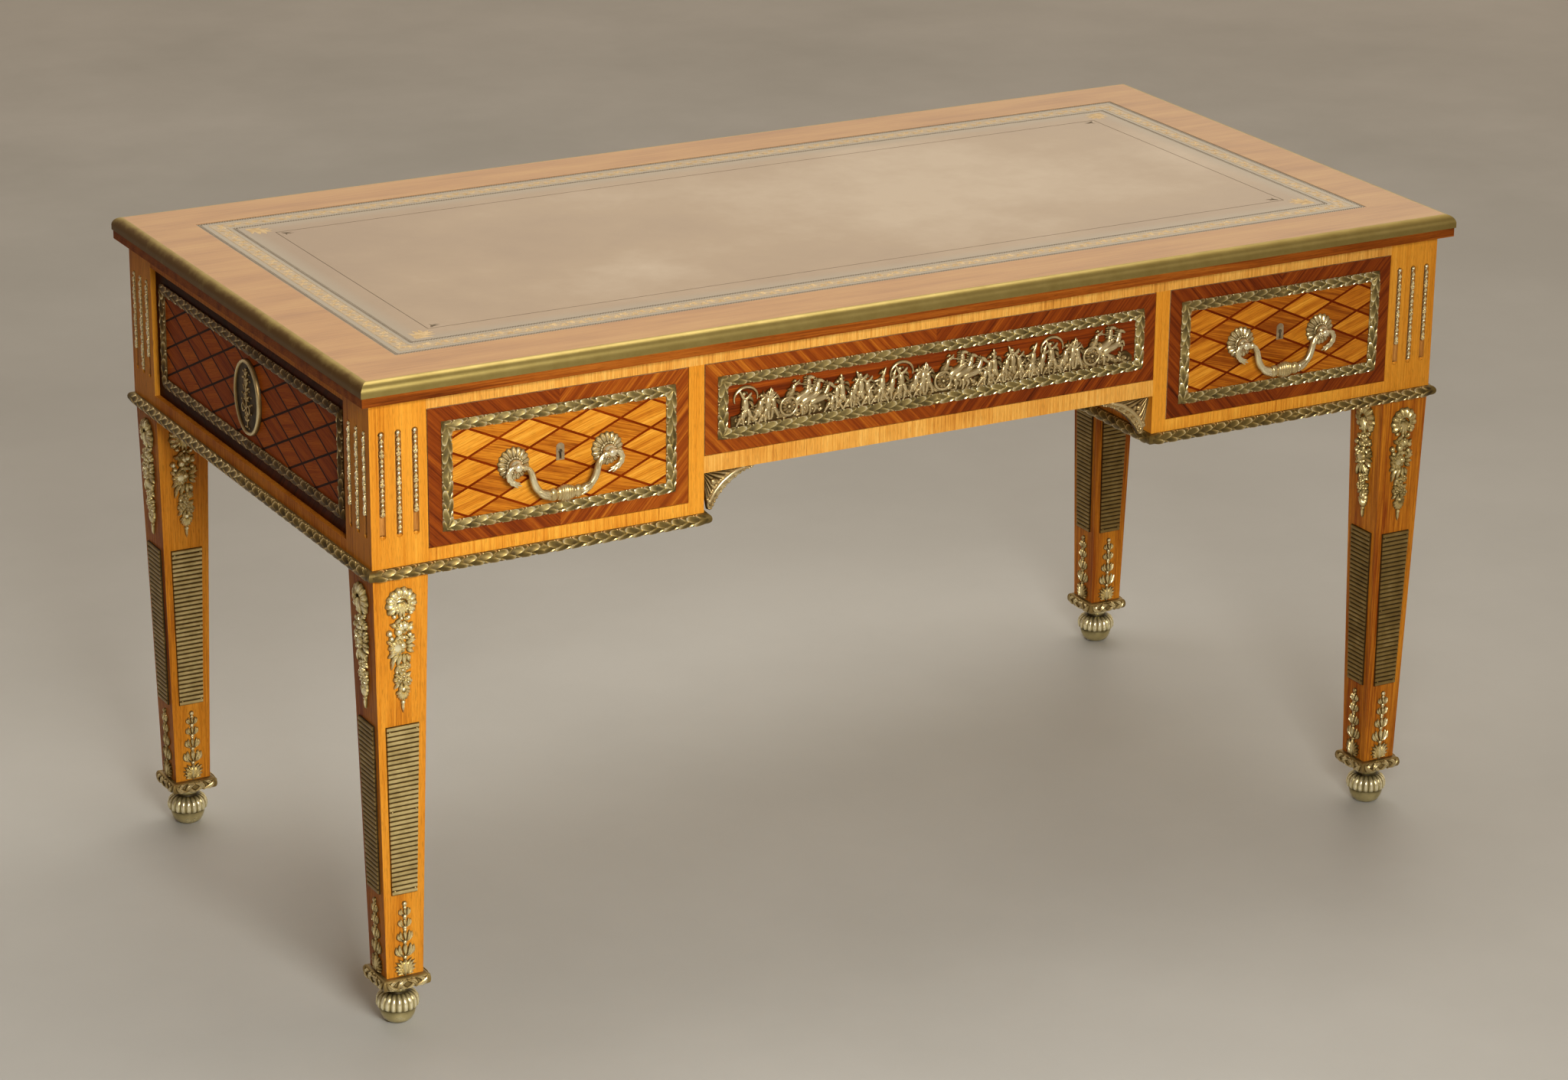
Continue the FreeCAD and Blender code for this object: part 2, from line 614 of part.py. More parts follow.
def build_top():
    inner_x = TOP_WIDTH / 2 - EDGE_DEPTH
    inner_y = TOP_DEPTH / 2 - EDGE_DEPTH
    shoulder = EDGE_HEIGHT - EDGE_UPRIGHT
    bulge = math.sin(math.radians(45))
    corner = (EDGE_DEPTH * bulge, EDGE_UPRIGHT + shoulder * bulge)
    edge = mitred_ring(inner_x, inner_y, EDGE_DEPTH, EDGE_HEIGHT, (0, 0),
                       [((EDGE_DEPTH, 0),), ((EDGE_DEPTH, EDGE_UPRIGHT),), (corner, (0, EDGE_HEIGHT))])
    for bar in edge:
        bar.translate(V(0, 0, edge_bottom))
    save("brass_edge", edge)

    lx, ly = inner_x - SIDE_BORDER, inner_y - FRONT_BORDER
    border = []
    corners = ((-1, -1), (1, -1), (1, 1), (-1, 1), (-1, -1))
    for (ax, ay), (bx, by) in zip(corners, corners[1:]):
        plan = [V(ax * inner_x, ay * inner_y, edge_bottom), V(bx * inner_x, by * inner_y, edge_bottom),
                V(bx * lx, by * ly, edge_bottom), V(ax * lx, ay * ly, edge_bottom)]
        border.append(Part.Face(Part.makePolygon(plan + plan[:1])).extrude(V(0, 0, EDGE_HEIGHT)))
    save("top_border", border)

    leather_top = HEIGHT - LEATHER_SINK
    leather_low = leather_top - LEATHER_THICKNESS
    save("writing_bed", [box(FIT - lx, lx - FIT, FIT - ly, ly - FIT, edge_bottom, leather_low)])
    gx, gy = lx - LEATHER_GROOVE, ly - LEATHER_GROOVE
    save("writing_leather", [box(-gx, gx, -gy, gy, leather_low, leather_top)])

    bx, by = TOP_WIDTH / 2 - BOARD_INSET, TOP_DEPTH / 2 - BOARD_INSET
    board = box(-bx, bx, -by, by, case_top, edge_bottom)
    kickers = []
    screws = []
    holes = []
    over_post = (post_inner_x - RUNNER_WIDTH, post_inner_x)
    over_divider = (knee_x - RUNNER_WIDTH, divider_x + RUNNER_WIDTH)
    for x0, x1 in (over_post, over_divider):
        kicker = box(x0, x1, -rail_inner_y, rail_inner_y, opening_top, case_top)
        for y in span(0, SCREW_SPACING):
            place = V((x0 + x1) / 2, y, opening_top)
            length = TOP_RAIL + SCREW_BITE
            head = Part.makeCone(SCREW_HEAD_RADIUS, SCREW_RADIUS, SCREW_HEAD_HEIGHT, place)
            screws.append(fused([head, Part.makeCylinder(SCREW_RADIUS, length, place)]))
            seat = Part.makeCone(SCREW_HEAD_RADIUS + FIT, SCREW_RADIUS + FIT, SCREW_HEAD_HEIGHT, place)
            hole = fused([seat, Part.makeCylinder(SCREW_RADIUS + FIT, length + FIT, place)])
            kicker = kicker.cut(hole)
            holes.append(hole)
        kickers.append(kicker)
    save("top_board", [board.cut(both_x(holes))])
    save("drawer_kickers", both_x(kickers))
    save("top_screws", both_x(screws))


def build_frame(bolt_mortises):
    # The rails along the front, and their copies along the back
    front_y = (-half_depth, -rail_inner_y)
    top_rail, top_tenons = rail_x((-post_inner_x, post_inner_x, *front_y, opening_top, case_top),
                                  TENON_LENGTH, TENON_LENGTH, -half_depth)
    apron, apron_tenons = rail_x((-knee_x, knee_x, *front_y, apron_bottom, centre_opening_bottom),
                                 STUB_LENGTH, STUB_LENGTH, -half_depth)
    bottom, bottom_tenons = rail_x((divider_x, post_inner_x, *front_y, case_bottom, side_opening_bottom),
                                   STUB_LENGTH, TENON_LENGTH, -half_depth)
    save("front_top_rail", [top_rail.cut(bolt_mortises)])
    save("back_top_rail", [mirror_y(top_rail)])
    save("apron_rails", both_y([apron]))
    save("bottom_rails", both_y(both_x([bottom])))

    # The side panels and the rails above and below them
    panel = (-half_width + PANEL_RECESS, -half_width + PANEL_RECESS + PANEL_THICKNESS,
             -post_inner_y - PANEL_TONGUE, post_inner_y + PANEL_TONGUE,
             side_opening_bottom - PANEL_TONGUE, opening_top + PANEL_TONGUE)
    groove = grown(panel)
    rails = []
    side_tenons = []
    for z0, z1, ta, tb in ((opening_top, case_top, PANEL_TONGUE + TENON_SHOULDER, TENON_SHOULDER),
                           (case_bottom, side_opening_bottom, TENON_SHOULDER, PANEL_TONGUE + TENON_SHOULDER)):
        x0, x1 = -half_width, -half_width + SIDE_RAIL_DEPTH
        cross = (x0 + TENON_SETBACK, x0 + TENON_SETBACK + TENON_THICKNESS)
        tenons = [(*cross, -post_inner_y - TENON_LENGTH, -post_inner_y, z0 + ta, z1 - tb),
                  (*cross, post_inner_y, post_inner_y + TENON_LENGTH, z0 + ta, z1 - tb)]
        rail = fused([box(x0, x1, -post_inner_y, post_inner_y, z0, z1)] + [solid(t) for t in tenons])
        rails.append(rail.cut(groove))
        side_tenons.append(tenons[0])
    save("side_rails", both_x(rails))
    save("side_panels", both_x([solid(panel)]))

    # The legs, each with mortises for the rails and a groove for the side panel
    front_mortises = [grown(top_tenons[0]), mirror_x(grown(bottom_tenons[1]))]
    front_left = leg(front_mortises + [grown(t) for t in side_tenons] + [groove])
    save("leg_front_left", [front_left])
    save("leg_front_right", [mirror_x(front_left)])
    save("leg_back_left", [mirror_y(front_left)])
    save("leg_back_right", [mirror_x(mirror_y(front_left))])

    # The upright boards between the side drawers and the kneehole
    stubs = [grown(apron_tenons[1]), grown(bottom_tenons[0])]
    side = box(knee_x, divider_x, -half_depth, half_depth, case_bottom, opening_top).cut(both_y(stubs))
    save("kneehole_side_right", [side])
    save("kneehole_side_left", [mirror_x(side)])


def build_inside():
    # Fixed panels in the back that look like drawer fronts
    inner = half_depth - FALSE_FRONT
    top = opening_top - FIT
    side_front = box(divider_x + FIT, post_inner_x - FIT, inner, half_depth, side_opening_bottom + FIT, top)
    centre_front = box(FIT - knee_x, knee_x - FIT, inner, half_depth, centre_opening_bottom + FIT, top)
    save("false_drawer_fronts", both_x([side_front]) + [centre_front])

    # Runners under the drawers' sides, guides beside them and stops behind the fronts
    runners = []
    guides = []
    for face, into, level in ((post_inner_x, -1, side_opening_bottom), (divider_x, 1, side_opening_bottom),
                              (knee_x, -1, centre_opening_bottom)):
        along = (-rail_inner_y, rail_inner_y)
        runners.append(box(face, face + into * RUNNER_WIDTH, *along, level - RUNNER_THICKNESS, level))
        guides.append(box(face, face + into * GUIDE_WIDTH, *along, level, level + GUIDE_HEIGHT))
    save("drawer_runners", both_x(runners))
    save("drawer_guides", both_x(guides))
    stop_y = -half_depth + DRAWER_FRONT + RUN_CLEARANCE
    inner_x, outer_x = span(side_drawer_x, STOP_SPACING)
    stops = []
    for x, level in ((STOP_SPACING / 2, centre_opening_bottom), (inner_x, side_opening_bottom),
                     (outer_x, side_opening_bottom)):
        stops.append(box(*span(x, STOP_WIDTH), stop_y, stop_y + STOP_DEPTH, level, level + STOP_HEIGHT))
    save("drawer_stops", both_x(stops))

    # Thin boards that close the case from below
    outer = half_width - SIDE_RAIL_DEPTH
    posts = [box(post_inner_x - FIT, half_width, sign * (post_inner_y - FIT), sign * half_depth, 0, case_top)
             for sign in (-1, 1)]
    pedestal = box(divider_x, outer, -rail_inner_y, rail_inner_y, case_bottom, case_bottom + DUST_BOARD)
    centre = box(-knee_x, knee_x, -rail_inner_y, rail_inner_y, apron_bottom, apron_bottom + DUST_BOARD)
    save("dust_boards", both_x([pedestal.cut(posts)]) + [centre])


def build_mounts():
    # Laurel rods round the foot of each pedestal
    crown = ((ROD_DEPTH, ROD_HEIGHT / 2), (ROD_FLAT, ROD_HEIGHT))
    rods = mitred_ring((half_width - knee_x) / 2, half_depth, ROD_DEPTH, ROD_HEIGHT, (0, 0),
                       [((ROD_FLAT, 0),), crown, ((0, ROD_HEIGHT),)])
    for rod in rods:
        rod.translate(V((half_width + knee_x) / 2, 0, rod_bottom))
    save("laurel_rods", both_x(rods))
    save("kneehole_brackets", both_y(both_x([bracket()])))

    # Frames on the sides and the back, and an oval medallion in the middle of each side
    panel_x = -half_width + PANEL_RECESS
    middle_z = (side_opening_bottom + opening_top) / 2
    side_frame = laurel_frame(-post_inner_y + CROSSBAND, post_inner_y - CROSSBAND,
                              side_opening_bottom + CROSSBAND, opening_top - CROSSBAND, 0)
    for bar in side_frame:
        bar.rotate(V(0, 0, 0), V(0, 0, 1), -90)
        bar.translate(V(panel_x, 0, 0))
    save("side_laurel_frames", both_x(side_frame))
    oval = medallion()
    oval.translate(V(panel_x, 0, middle_z))
    save("side_medallions", both_x([oval]))
    margin = DRAWER_GAP + CROSSBAND
    right = laurel_frame(divider_x + margin, post_inner_x - margin,
                         side_opening_bottom + margin, opening_top - margin, -half_depth)
    centre = laurel_frame(margin - knee_x, knee_x - margin,
                          centre_opening_bottom + margin, opening_top - margin, -half_depth)
    save("back_laurel_frames", [mirror_y(s) for s in both_x(right) + centre])

    # Everything that is fixed to the legs
    save("flute_rods", both_y(both_x(flute_rods())))
    save("leg_pendants", on_leg_faces(boss_mount(pendant), pendant[0][0]))
    save("leg_ribbed_plates", on_leg_faces(ribbed_plate(), ribs_top))
    save("leg_husk_drops", on_leg_faces(boss_mount(husk_drop), husk_drop[0][0]))
    for name, shape in (("leg_collars", collar()), ("ball_feet", ball_foot())):
        shape.translate(V(-post_x, -post_y, 0))
        save(name, both_y(both_x([shape])))


def build_centre_drawer():
    front, board, sides, bottom = drawer(-knee_x, knee_x, centre_opening_bottom, opening_top)
    save("centre_drawer_front", [board])
    save("centre_drawer_box", sides)
    save("centre_drawer_bottom", [bottom])
    x0, x1, z0, z1 = drawer_frame_corners(front)
    save("centre_drawer_laurel_frame", laurel_frame(x0, x1, z0, z1, -half_depth))
    inset = FRAME_WIDTH + PLAQUE_END_GAP
    save("centre_drawer_plaque", [plaque(x0 + inset, x1 - inset, z0 + FRAME_WIDTH, -half_depth)])


def build_side_drawer(side, x0, x1):
    """A side drawer with its lock and handle. Returns the mortise that its bolt needs in the rail above."""
    x = (x0 + x1) / 2
    front, board, sides, bottom = drawer(x0, x1, side_opening_bottom, opening_top)
    lock_spec, lock_case, bolt, mortise = lock(x, front)
    posts = span(x, HANDLE_SPACING)
    bore = Part.makeCylinder(HANDLE_STUD_RADIUS + FIT, DRAWER_FRONT, V(0, -half_depth, handle_z), V(0, 1, 0))
    bores = [bore.translated(V(p, 0, 0)) for p in posts]
    seats = [grown(lock_spec), escutcheon(x, FIT), keyhole(x, front[2], front[3])]
    save(f"{side}_drawer_front", [board.cut(seats + bores)])
    save(f"{side}_drawer_box", sides)
    save(f"{side}_drawer_bottom", [bottom])
    save(f"{side}_drawer_laurel_frame", laurel_frame(*drawer_frame_corners(front), -half_depth))
    save(f"{side}_lock_case", [lock_case])
    save(f"{side}_lock_bolt", [bolt])
    plate = escutcheon(x)
    save(f"{side}_escutcheon", [plate.cut(keyhole(x, -half_depth - ESCUTCHEON_PROUD - 1, front[3]))])
    save(f"{side}_handle_rosettes", [rosette(p) for p in posts])
    save(f"{side}_handle_nuts", [nut(p) for p in posts])
    save(f"{side}_handle_bail", [bail(x)])
    return mortise


def main():
    os.makedirs("parts", exist_ok=True)
    build_top()
    left_mortise = build_side_drawer("left", -post_inner_x, -divider_x)
    right_mortise = build_side_drawer("right", divider_x, post_inner_x)
    build_centre_drawer()
    build_frame([left_mortise, right_mortise])
    build_inside()
    build_mounts()


main()
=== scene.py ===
import math

import bmesh
import bpy
import numpy as np
from mathutils import Matrix


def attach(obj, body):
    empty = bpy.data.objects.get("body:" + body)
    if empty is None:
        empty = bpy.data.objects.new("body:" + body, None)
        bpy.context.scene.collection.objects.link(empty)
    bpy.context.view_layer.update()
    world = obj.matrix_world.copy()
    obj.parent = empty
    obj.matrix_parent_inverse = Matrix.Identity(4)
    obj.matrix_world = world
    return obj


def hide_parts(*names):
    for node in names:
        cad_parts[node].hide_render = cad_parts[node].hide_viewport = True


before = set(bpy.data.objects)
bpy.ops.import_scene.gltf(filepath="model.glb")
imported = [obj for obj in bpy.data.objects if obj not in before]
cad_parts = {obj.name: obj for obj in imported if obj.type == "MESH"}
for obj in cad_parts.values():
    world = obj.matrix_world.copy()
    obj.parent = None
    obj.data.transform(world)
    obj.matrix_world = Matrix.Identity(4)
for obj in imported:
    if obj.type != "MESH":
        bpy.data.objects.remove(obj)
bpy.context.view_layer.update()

# The looks of a flat-topped writing desk, built around its solids. Sizes are in millimetres.
MM = 0.001
HALF_WIDTH, HALF_DEPTH = 710.0, 351.5
POST_X, POST_Y, POST_HALF = 676.0, 317.5, 34.0
POST_INNER_X, POST_INNER_Y = 642.0, 283.5
KNEE_X, DIVIDER_X = 301.5, 321.0
OPENING_TOP, SIDE_BOTTOM, CENTRE_BOTTOM, APRON_BOTTOM = 736.5, 575.5, 628.0, 608.0
DRAWER_X, DRAWER_PLAY = 481.5, 2.0
HANDLE_Z, KEY_Z, PIVOT_REACH, HANDLE_SPACING = 656.5, 663.0, 13.0, 115.0
LEG_TOP, LEG_HALF_AT_TOP, LEG_SLOPE = 550.0, 33.0, 10.5 / 487.0
LEG_HALF_AT_FLOOR = LEG_HALF_AT_TOP - LEG_TOP * LEG_SLOPE
PANEL_X = HALF_WIDTH - 7.0
CROSSBAND, VENEER = 16.0, 0.35
LEATHER_X, LEATHER_Y, LEATHER_TOP = 648.0, 287.0, 779.7

FRONT, BACK, LEFT, RIGHT = np.array([(0.0, -1.0, 0.0), (0.0, 1.0, 0.0), (-1.0, 0.0, 0.0), (1.0, 0.0, 0.0)])
UP = np.array((0.0, 0.0, 1.0))
SIDES = ((-1, "left", LEFT), (1, "right", RIGHT))

random = np.random.default_rng(11)


# Materials

def linear(*colours):
    """Colours in percent of sRGB, in linear light."""
    return [tuple(((c / 100 + 0.055) / 1.055) ** 2.4 if c > 4 else c / 1292 for c in colour) + (1.0,)
            for colour in colours]


def plug(tree, made, inputs):
    """Sets the inputs of a node. One that is a socket is linked."""
    for key, value in inputs.items():
        if isinstance(value, bpy.types.NodeSocket):
            tree.links.new(value, made.inputs[key])
        else:
            made.inputs[key].default_value = value


def node(tree, kind, inputs=(), output=0, **settings):
    """The output of a new shader node."""
    made = tree.nodes.new("ShaderNode" + kind)
    for key, value in settings.items():
        setattr(made, key, value)
    plug(tree, made, dict(inputs))
    return made.outputs[output]


def material(name, **constants):
    made = bpy.data.materials.new(name)
    made.use_nodes = True
    shader = made.node_tree.nodes["Principled BSDF"]
    plug(made.node_tree, shader, {key.replace("_", " "): value for key, value in constants.items()})
    return made, made.node_tree, shader


def ramp(tree, factor, places, colours):
    """A colour ramp."""
    socket = node(tree, "ValToRGB", {"Fac": factor})
    band = socket.node.color_ramp.elements
    while len(band) < len(colours):
        band.new(0.5)
    for element, place, colour in zip(band, places, colours):
        element.position = place
        element.color = colour
    return socket


def remap(tree, value, low, high, to_low=0.0, to_high=1.0):
    return node(tree, "MapRange", {"Value": value, "From Min": low, "From Max": high, "To Min": to_low,
                                   "To Max": to_high})


def calc(tree, operation, a, b=0.0, c=0.0):
    return node(tree, "Math", {0: a, 1: b, 2: c}, operation=operation)


def noise(tree, coords, scale, detail, rough):
    mapped = node(tree, "Mapping", {"Vector": coords, "Scale": scale})
    return node(tree, "TexNoise", {"Vector": mapped, "Scale": 1.0, "Detail": detail, "Roughness": rough})


def bump(tree, height, strength, distance=0.0002):
    return node(tree, "Bump", {"Height": height, "Strength": strength, "Distance": distance})


def sideways(tree):
    """1 on a face that looks to the desk's left or right, 0 on one that looks to its front, back or top.
    It masks the painted shade on the desk's ends.
    """
    normal = node(tree, "TexCoord", output="Normal")
    return calc(tree, "ABSOLUTE", node(tree, "SeparateXYZ", {0: normal}, "X"))


def wood(name, grain, figure, streak, colours, mix=0.55, pores=0.75, gloss=0.06, rough=0.42, spread=0.34,
         shine=0.1, below=None, ends=0.0):
    """Polished wood. Grain is an axis of the object, or "uv" for the piece's own grain map. Figure and
    streak give the width and length of the broad and the fine markings. Colours go from dark to pale.
    Below is a height, under which the tone changes by an amount. Ends changes the tone of faces at the
    desk's left and right, and darkens them there as painted shade."""
    made, tree, shader = material(name, Roughness=rough, Coat_Weight=gloss, Coat_Roughness=0.14,
                                  Specular_IOR_Level=shine)
    if grain == "uv":
        coords, along = node(tree, "UVMap", uv_map="grain"), 0
    else:
        coords, along = node(tree, "TexCoord", output="Object"), "XYZ".index(grain)

    def bands(size, detail, rough):
        scale = [1000.0 / size[0]] * 3
        scale[along] = 1000.0 / size[1]
        return noise(tree, coords, scale, detail, rough)

    fine, broad, dots = bands(streak, 4.0, 0.6), bands(figure, 3.0, 0.5), bands((0.7, 12.0), 2.0, 0.5)
    both = calc(tree, "MULTIPLY_ADD", broad, 1.0 - mix, calc(tree, "MULTIPLY", fine, mix))
    both = calc(tree, "ADD", both, node(tree, "Attribute", output="Fac", attribute_name="tone"))
    if below:
        under = calc(tree, "LESS_THAN", node(tree, "SeparateXYZ", {0: coords}, "Z"), below[0] * MM)
        both = calc(tree, "MULTIPLY_ADD", under, below[1], both)
    # Painted shade: faces at the desk's left and right are darker
    if ends:
        both = calc(tree, "MULTIPLY_ADD", sideways(tree), ends, both)
    colour = ramp(tree, both, np.linspace(0.5 - spread / 2, 0.5 + spread / 2, len(colours)), linear(*colours))
    dark = ramp(tree, dots, (0.36, 0.46), [(pores, pores, pores, 1.0), (1.0, 1.0, 1.0, 1.0)])
    mixed = node(tree, "Mix", {"Factor": 1.0, 6: colour, 7: dark}, 2, data_type="RGBA", blend_type="MULTIPLY")
    plug(tree, shader, {"Base Color": mixed, "Normal": bump(tree, calc(tree, "ADD", dots, fine), 0.12)})
    return made


def gilt(name, colours, rough, crest=True, cloud=45.0, metal=0.66, ends=0.0, mottle=1.0):
    """Aged gilt brass: dark in the hollows and worn bright on the ridges; on some mounts the crests also
    carry painted shade and painted highlights. Colours go from hollow to ridge. Ends is as for wood,
    painted shade on faces at the desk's left and right, and mottle is how strong the patches are on a
    plain surface."""
    made, tree, shader = material(name, Metallic=metal)
    coords = node(tree, "TexCoord", output="Object")
    patches = noise(tree, coords, (cloud,) * 3, 5.0, 0.65)
    if crest:
        ridge = node(tree, "Attribute", output="Fac", attribute_name="crest")
        rub_and_painted_light = calc(tree, "SUBTRACT", ridge, 0.27)
        wear_and_painted_light, span = calc(tree, "MULTIPLY_ADD", patches, 0.55, rub_and_painted_light), (0.12, 0.95)
    else:
        wear_and_painted_light, span = calc(tree, "MULTIPLY_ADD", patches, mottle, 0.5 - 0.5 * mottle), (0.28, 0.72)
    # Painted shade: faces at the desk's left and right are darker
    if ends:
        wear_and_painted_light = calc(tree, "MULTIPLY_ADD", sideways(tree), ends, wear_and_painted_light)
    plug(tree, shader, {"Base Color": ramp(tree, wear_and_painted_light, np.linspace(*span, len(colours)), linear(*colours)),
                        "Roughness": remap(tree, wear_and_painted_light, 0.1, 0.9, *rough),
                        "Normal": bump(tree, noise(tree, coords, (900.0,) * 3, 3.0, 0.6), 0.1)})
    return made


def leather(name):
    """Polished hide: brown in the middle, with grey and tan bands at the edge, and fine pebbles. The middle
    is paler near a point a little right of the middle of the top, a painted sheen.
    """
    made, tree, shader = material(name, Coat_Weight=0.8, Coat_Roughness=0.16)
    coords = node(tree, "TexCoord", output="Object")
    parts = node(tree, "SeparateXYZ", {0: coords}).node.outputs
    inset = calc(tree, "MINIMUM", *(calc(tree, "SUBTRACT", half * MM, calc(tree, "ABSOLUTE", parts[axis]))
                                    for axis, half in (("X", LEATHER_X), ("Y", LEATHER_Y))))
    clouds = noise(tree, coords, (3.6,) * 3, 6.0, 0.6)
    # Painted sheen: the leather is paler near a point a little right of the middle and darker away from it,
    # over its own mottle
    sheen_spot = node(tree, "Mapping", {"Vector": coords, "Location": (-0.28, -0.11, -1.17),
                                  "Scale": (1.5, 2.2, 1.5)})
    away = node(tree, "VectorMath", {0: sheen_spot}, "Value", operation="LENGTH")
    mottle_and_sheen = calc(tree, "MULTIPLY_ADD", away, -0.26, calc(tree, "ADD", clouds, 0.17))
    middle = ramp(tree, mottle_and_sheen, (0.3, 0.5, 0.7), linear((53, 41, 28), (60, 49, 36), (69, 60, 49)))
    grey, tan = (57, 51.5, 42.5), (65, 55, 40)
    edge = ramp(tree, remap(tree, inset, 0.0, 0.08), (0.0, 0.12, 0.16, 0.32, 0.36, 0.5),
                linear(grey, grey, tan, tan, grey, grey))
    fade = remap(tree, inset, 0.034, 0.058)
    pebbles = node(tree, "TexVoronoi", {"Vector": coords, "Scale": 900.0}, "Distance")
    plug(tree, shader, {"Base Color": node(tree, "Mix", {"Factor": fade, 6: edge, 7: middle}, 2,
                                           data_type="RGBA"),
                        "Roughness": remap(tree, clouds, 0.3, 0.7, 0.34, 0.46),
                        "Normal": bump(tree, pebbles, 0.12, 0.0003)})
    return made


LOOK = {"leather": leather("leather")}
PLAIN = False
for name, settings, *colours in (
        ("ormolu", ((0.48, 0.22),), (25, 20, 10), (60, 52, 30), (86, 78, 54), (100, 97, 82)),
        ("dark_ormolu", ((0.5, 0.26),), (18, 13, 5), (43, 33, 17), (66, 55, 34), (92, 85, 66)),
        ("rib_brass", ((0.5, 0.3),), (20, 15, 6), (42, 33, 15), (60, 50, 28), (84, 76, 53)),
        ("rod_ormolu", ((0.48, 0.24),), (22, 16, 6), (54, 45, 23), (82, 71, 45), (100, 94, 74)),
        ("handle_ormolu", ((0.46, 0.24),), (22, 17, 8), (50, 42, 25), (76, 67, 46), (94, 89, 73)),
        ("frieze_ormolu", ((0.5, 0.26),), (15, 10, 3), (34, 26, 12), (56, 46, 27), (88, 80, 61)),
        ("green_ormolu", ((0.5, 0.24),), (20, 15, 6), (45, 36, 18), (69, 59, 36), (94, 88, 68)),
        ("foot_ormolu", ((0.46, 0.22),), (25, 21, 12), (53, 48, 31), (79, 73, 52), (100, 96, 79)),
        ("string_ormolu", ((0.44, 0.22),), (36, 28, 15), (70, 61, 40), (94, 87, 66), (100, 98, 86)),
        # The brass edge is darker on faces at the desk's left and right: painted shade
        ("edge_brass", ((0.42, 0.3), PLAIN, 30.0, 0.85, -0.26, 0.4), (44, 32, 11.5), (64, 56, 31),
         (71, 63, 37), (77, 69, 43)),
        ("steel", ((0.5, 0.3), PLAIN, 80.0), (30, 29, 28), (46, 45, 43), (58, 57, 55)),
        ("key_brass", ((0.45, 0.3), PLAIN, 120.0), (50, 42, 30), (68, 59, 45), (80, 71, 56)),
        ("gold_leaf", ((0.5, 0.36), PLAIN, 160.0), (68, 55, 37), (80, 69, 50), (90, 80, 62))):
    LOOK[name] = gilt(name, colours, *settings)

POST = ((54, 24, 4), (80, 50, 12), (88, 60, 19), (92, 68, 28))
RAIL = dict(mix=0.72, spread=0.42)
SIDE = dict(gloss=0.0, shine=0.04)
for name, grain, figure, streak, settings, *colours in (
        # Post wood is darker on faces at the desk's left and right: painted shade
        ("post_wood", "Z", (26, 420), (2.0, 200), dict(spread=0.6, below=(548.0, -0.08), ends=-0.12), *POST),
        # The right legs' wood is darker and redder below the case than the left legs': painted shade where
        # the light falls off to the right
        ("red_post_wood", "Z", (26, 420), (2.0, 200), dict(spread=0.6, below=(548.0, -0.2)), *POST),
        ("rail_wood", "Z", (60, 60), (2.2, 90), RAIL, (64, 38, 12), (82, 56, 22), (88, 65, 30), (91, 72, 39)),
        ("low_rail_wood", "Z", (60, 60), (2.2, 90), RAIL, (64, 36, 8), (83, 53, 15), (89, 62, 21),
         (92, 69, 28)),
        ("side_rail_wood", "Z", (60, 60), (1.6, 60), dict(gloss=0.0, shine=0.06), (56, 27, 6), (76, 45, 12),
         (85, 56, 19)),
        # The lip is a red wood darkened as painted shade, for the shadow under the brass edge
        ("lip_wood", "X", (14, 260), (1.4, 90), dict(gloss=0.0, shine=0.05), (34, 14, 3), (54, 27, 7),
         (66, 38, 12)),
        ("top_wood", "X", (30, 180), (3.0, 120), dict(mix=0.4, pores=0.93, gloss=0.5, spread=0.5, shine=0.5),
         (58, 36, 16), (70, 49, 25), (76, 57, 31)),
        ("lining_wood", "Y", (22, 400), (2.0, 160), dict(gloss=0.0, rough=0.65), (60, 46, 30), (74, 60, 42),
         (80, 68, 50)),
        ("lozenge_wood", "uv", (9, 120), (1.5, 70), {}, (52, 25, 3), (70, 40, 8), (81, 52, 13), (88, 62, 21)),
        ("line_wood", "uv", (6, 90), (0.9, 60), dict(gloss=0.03, shine=0.05), (34, 9, 0), (44, 14, 0),
         (52, 19, 1)),
        ("crossband_wood", "uv", (7, 260), (2.0, 200), dict(mix=0.5, spread=0.43), (22, 7, 1), (43, 17, 3),
         (56, 26, 5), (72, 42, 11)),
        ("ground_wood", "uv", (7, 240), (2.4, 160), dict(spread=0.28), (28, 9, 1), (47, 19, 3), (61, 29, 6)),
        # The side panels' woods are darker copies of the front's: painted shade for the sides away from the
        # light, with a redder tone of their own
        ("side_lozenge_wood", "uv", (9, 120), (1.5, 70), SIDE, (49, 19, 3), (63, 29, 5), (73, 38, 8)),
        ("side_line_wood", "uv", (6, 90), (0.9, 60), SIDE, (10, 3, 1), (17, 6, 2), (25, 9, 3)),
        ("side_band_wood", "uv", (11, 160), (2.2, 90), SIDE, (13, 4, 1), (25, 10, 3), (36, 15, 4)),
        # A darker wood for the sheet in each flute: painted shade in the hollow
        ("flute_wood", "Z", (8, 120), (1.2, 60), dict(gloss=0.3), (58, 35, 13), (71, 47, 20), (80, 57, 28)),
        ("blind_tooling", "X", (8, 8), (3, 3), dict(gloss=0.0, rough=0.5), (30, 24, 17), (40, 34, 26),
         (50, 43, 34))):
    LOOK[name] = wood(name, grain, figure, streak, colours, **settings)


# Meshes

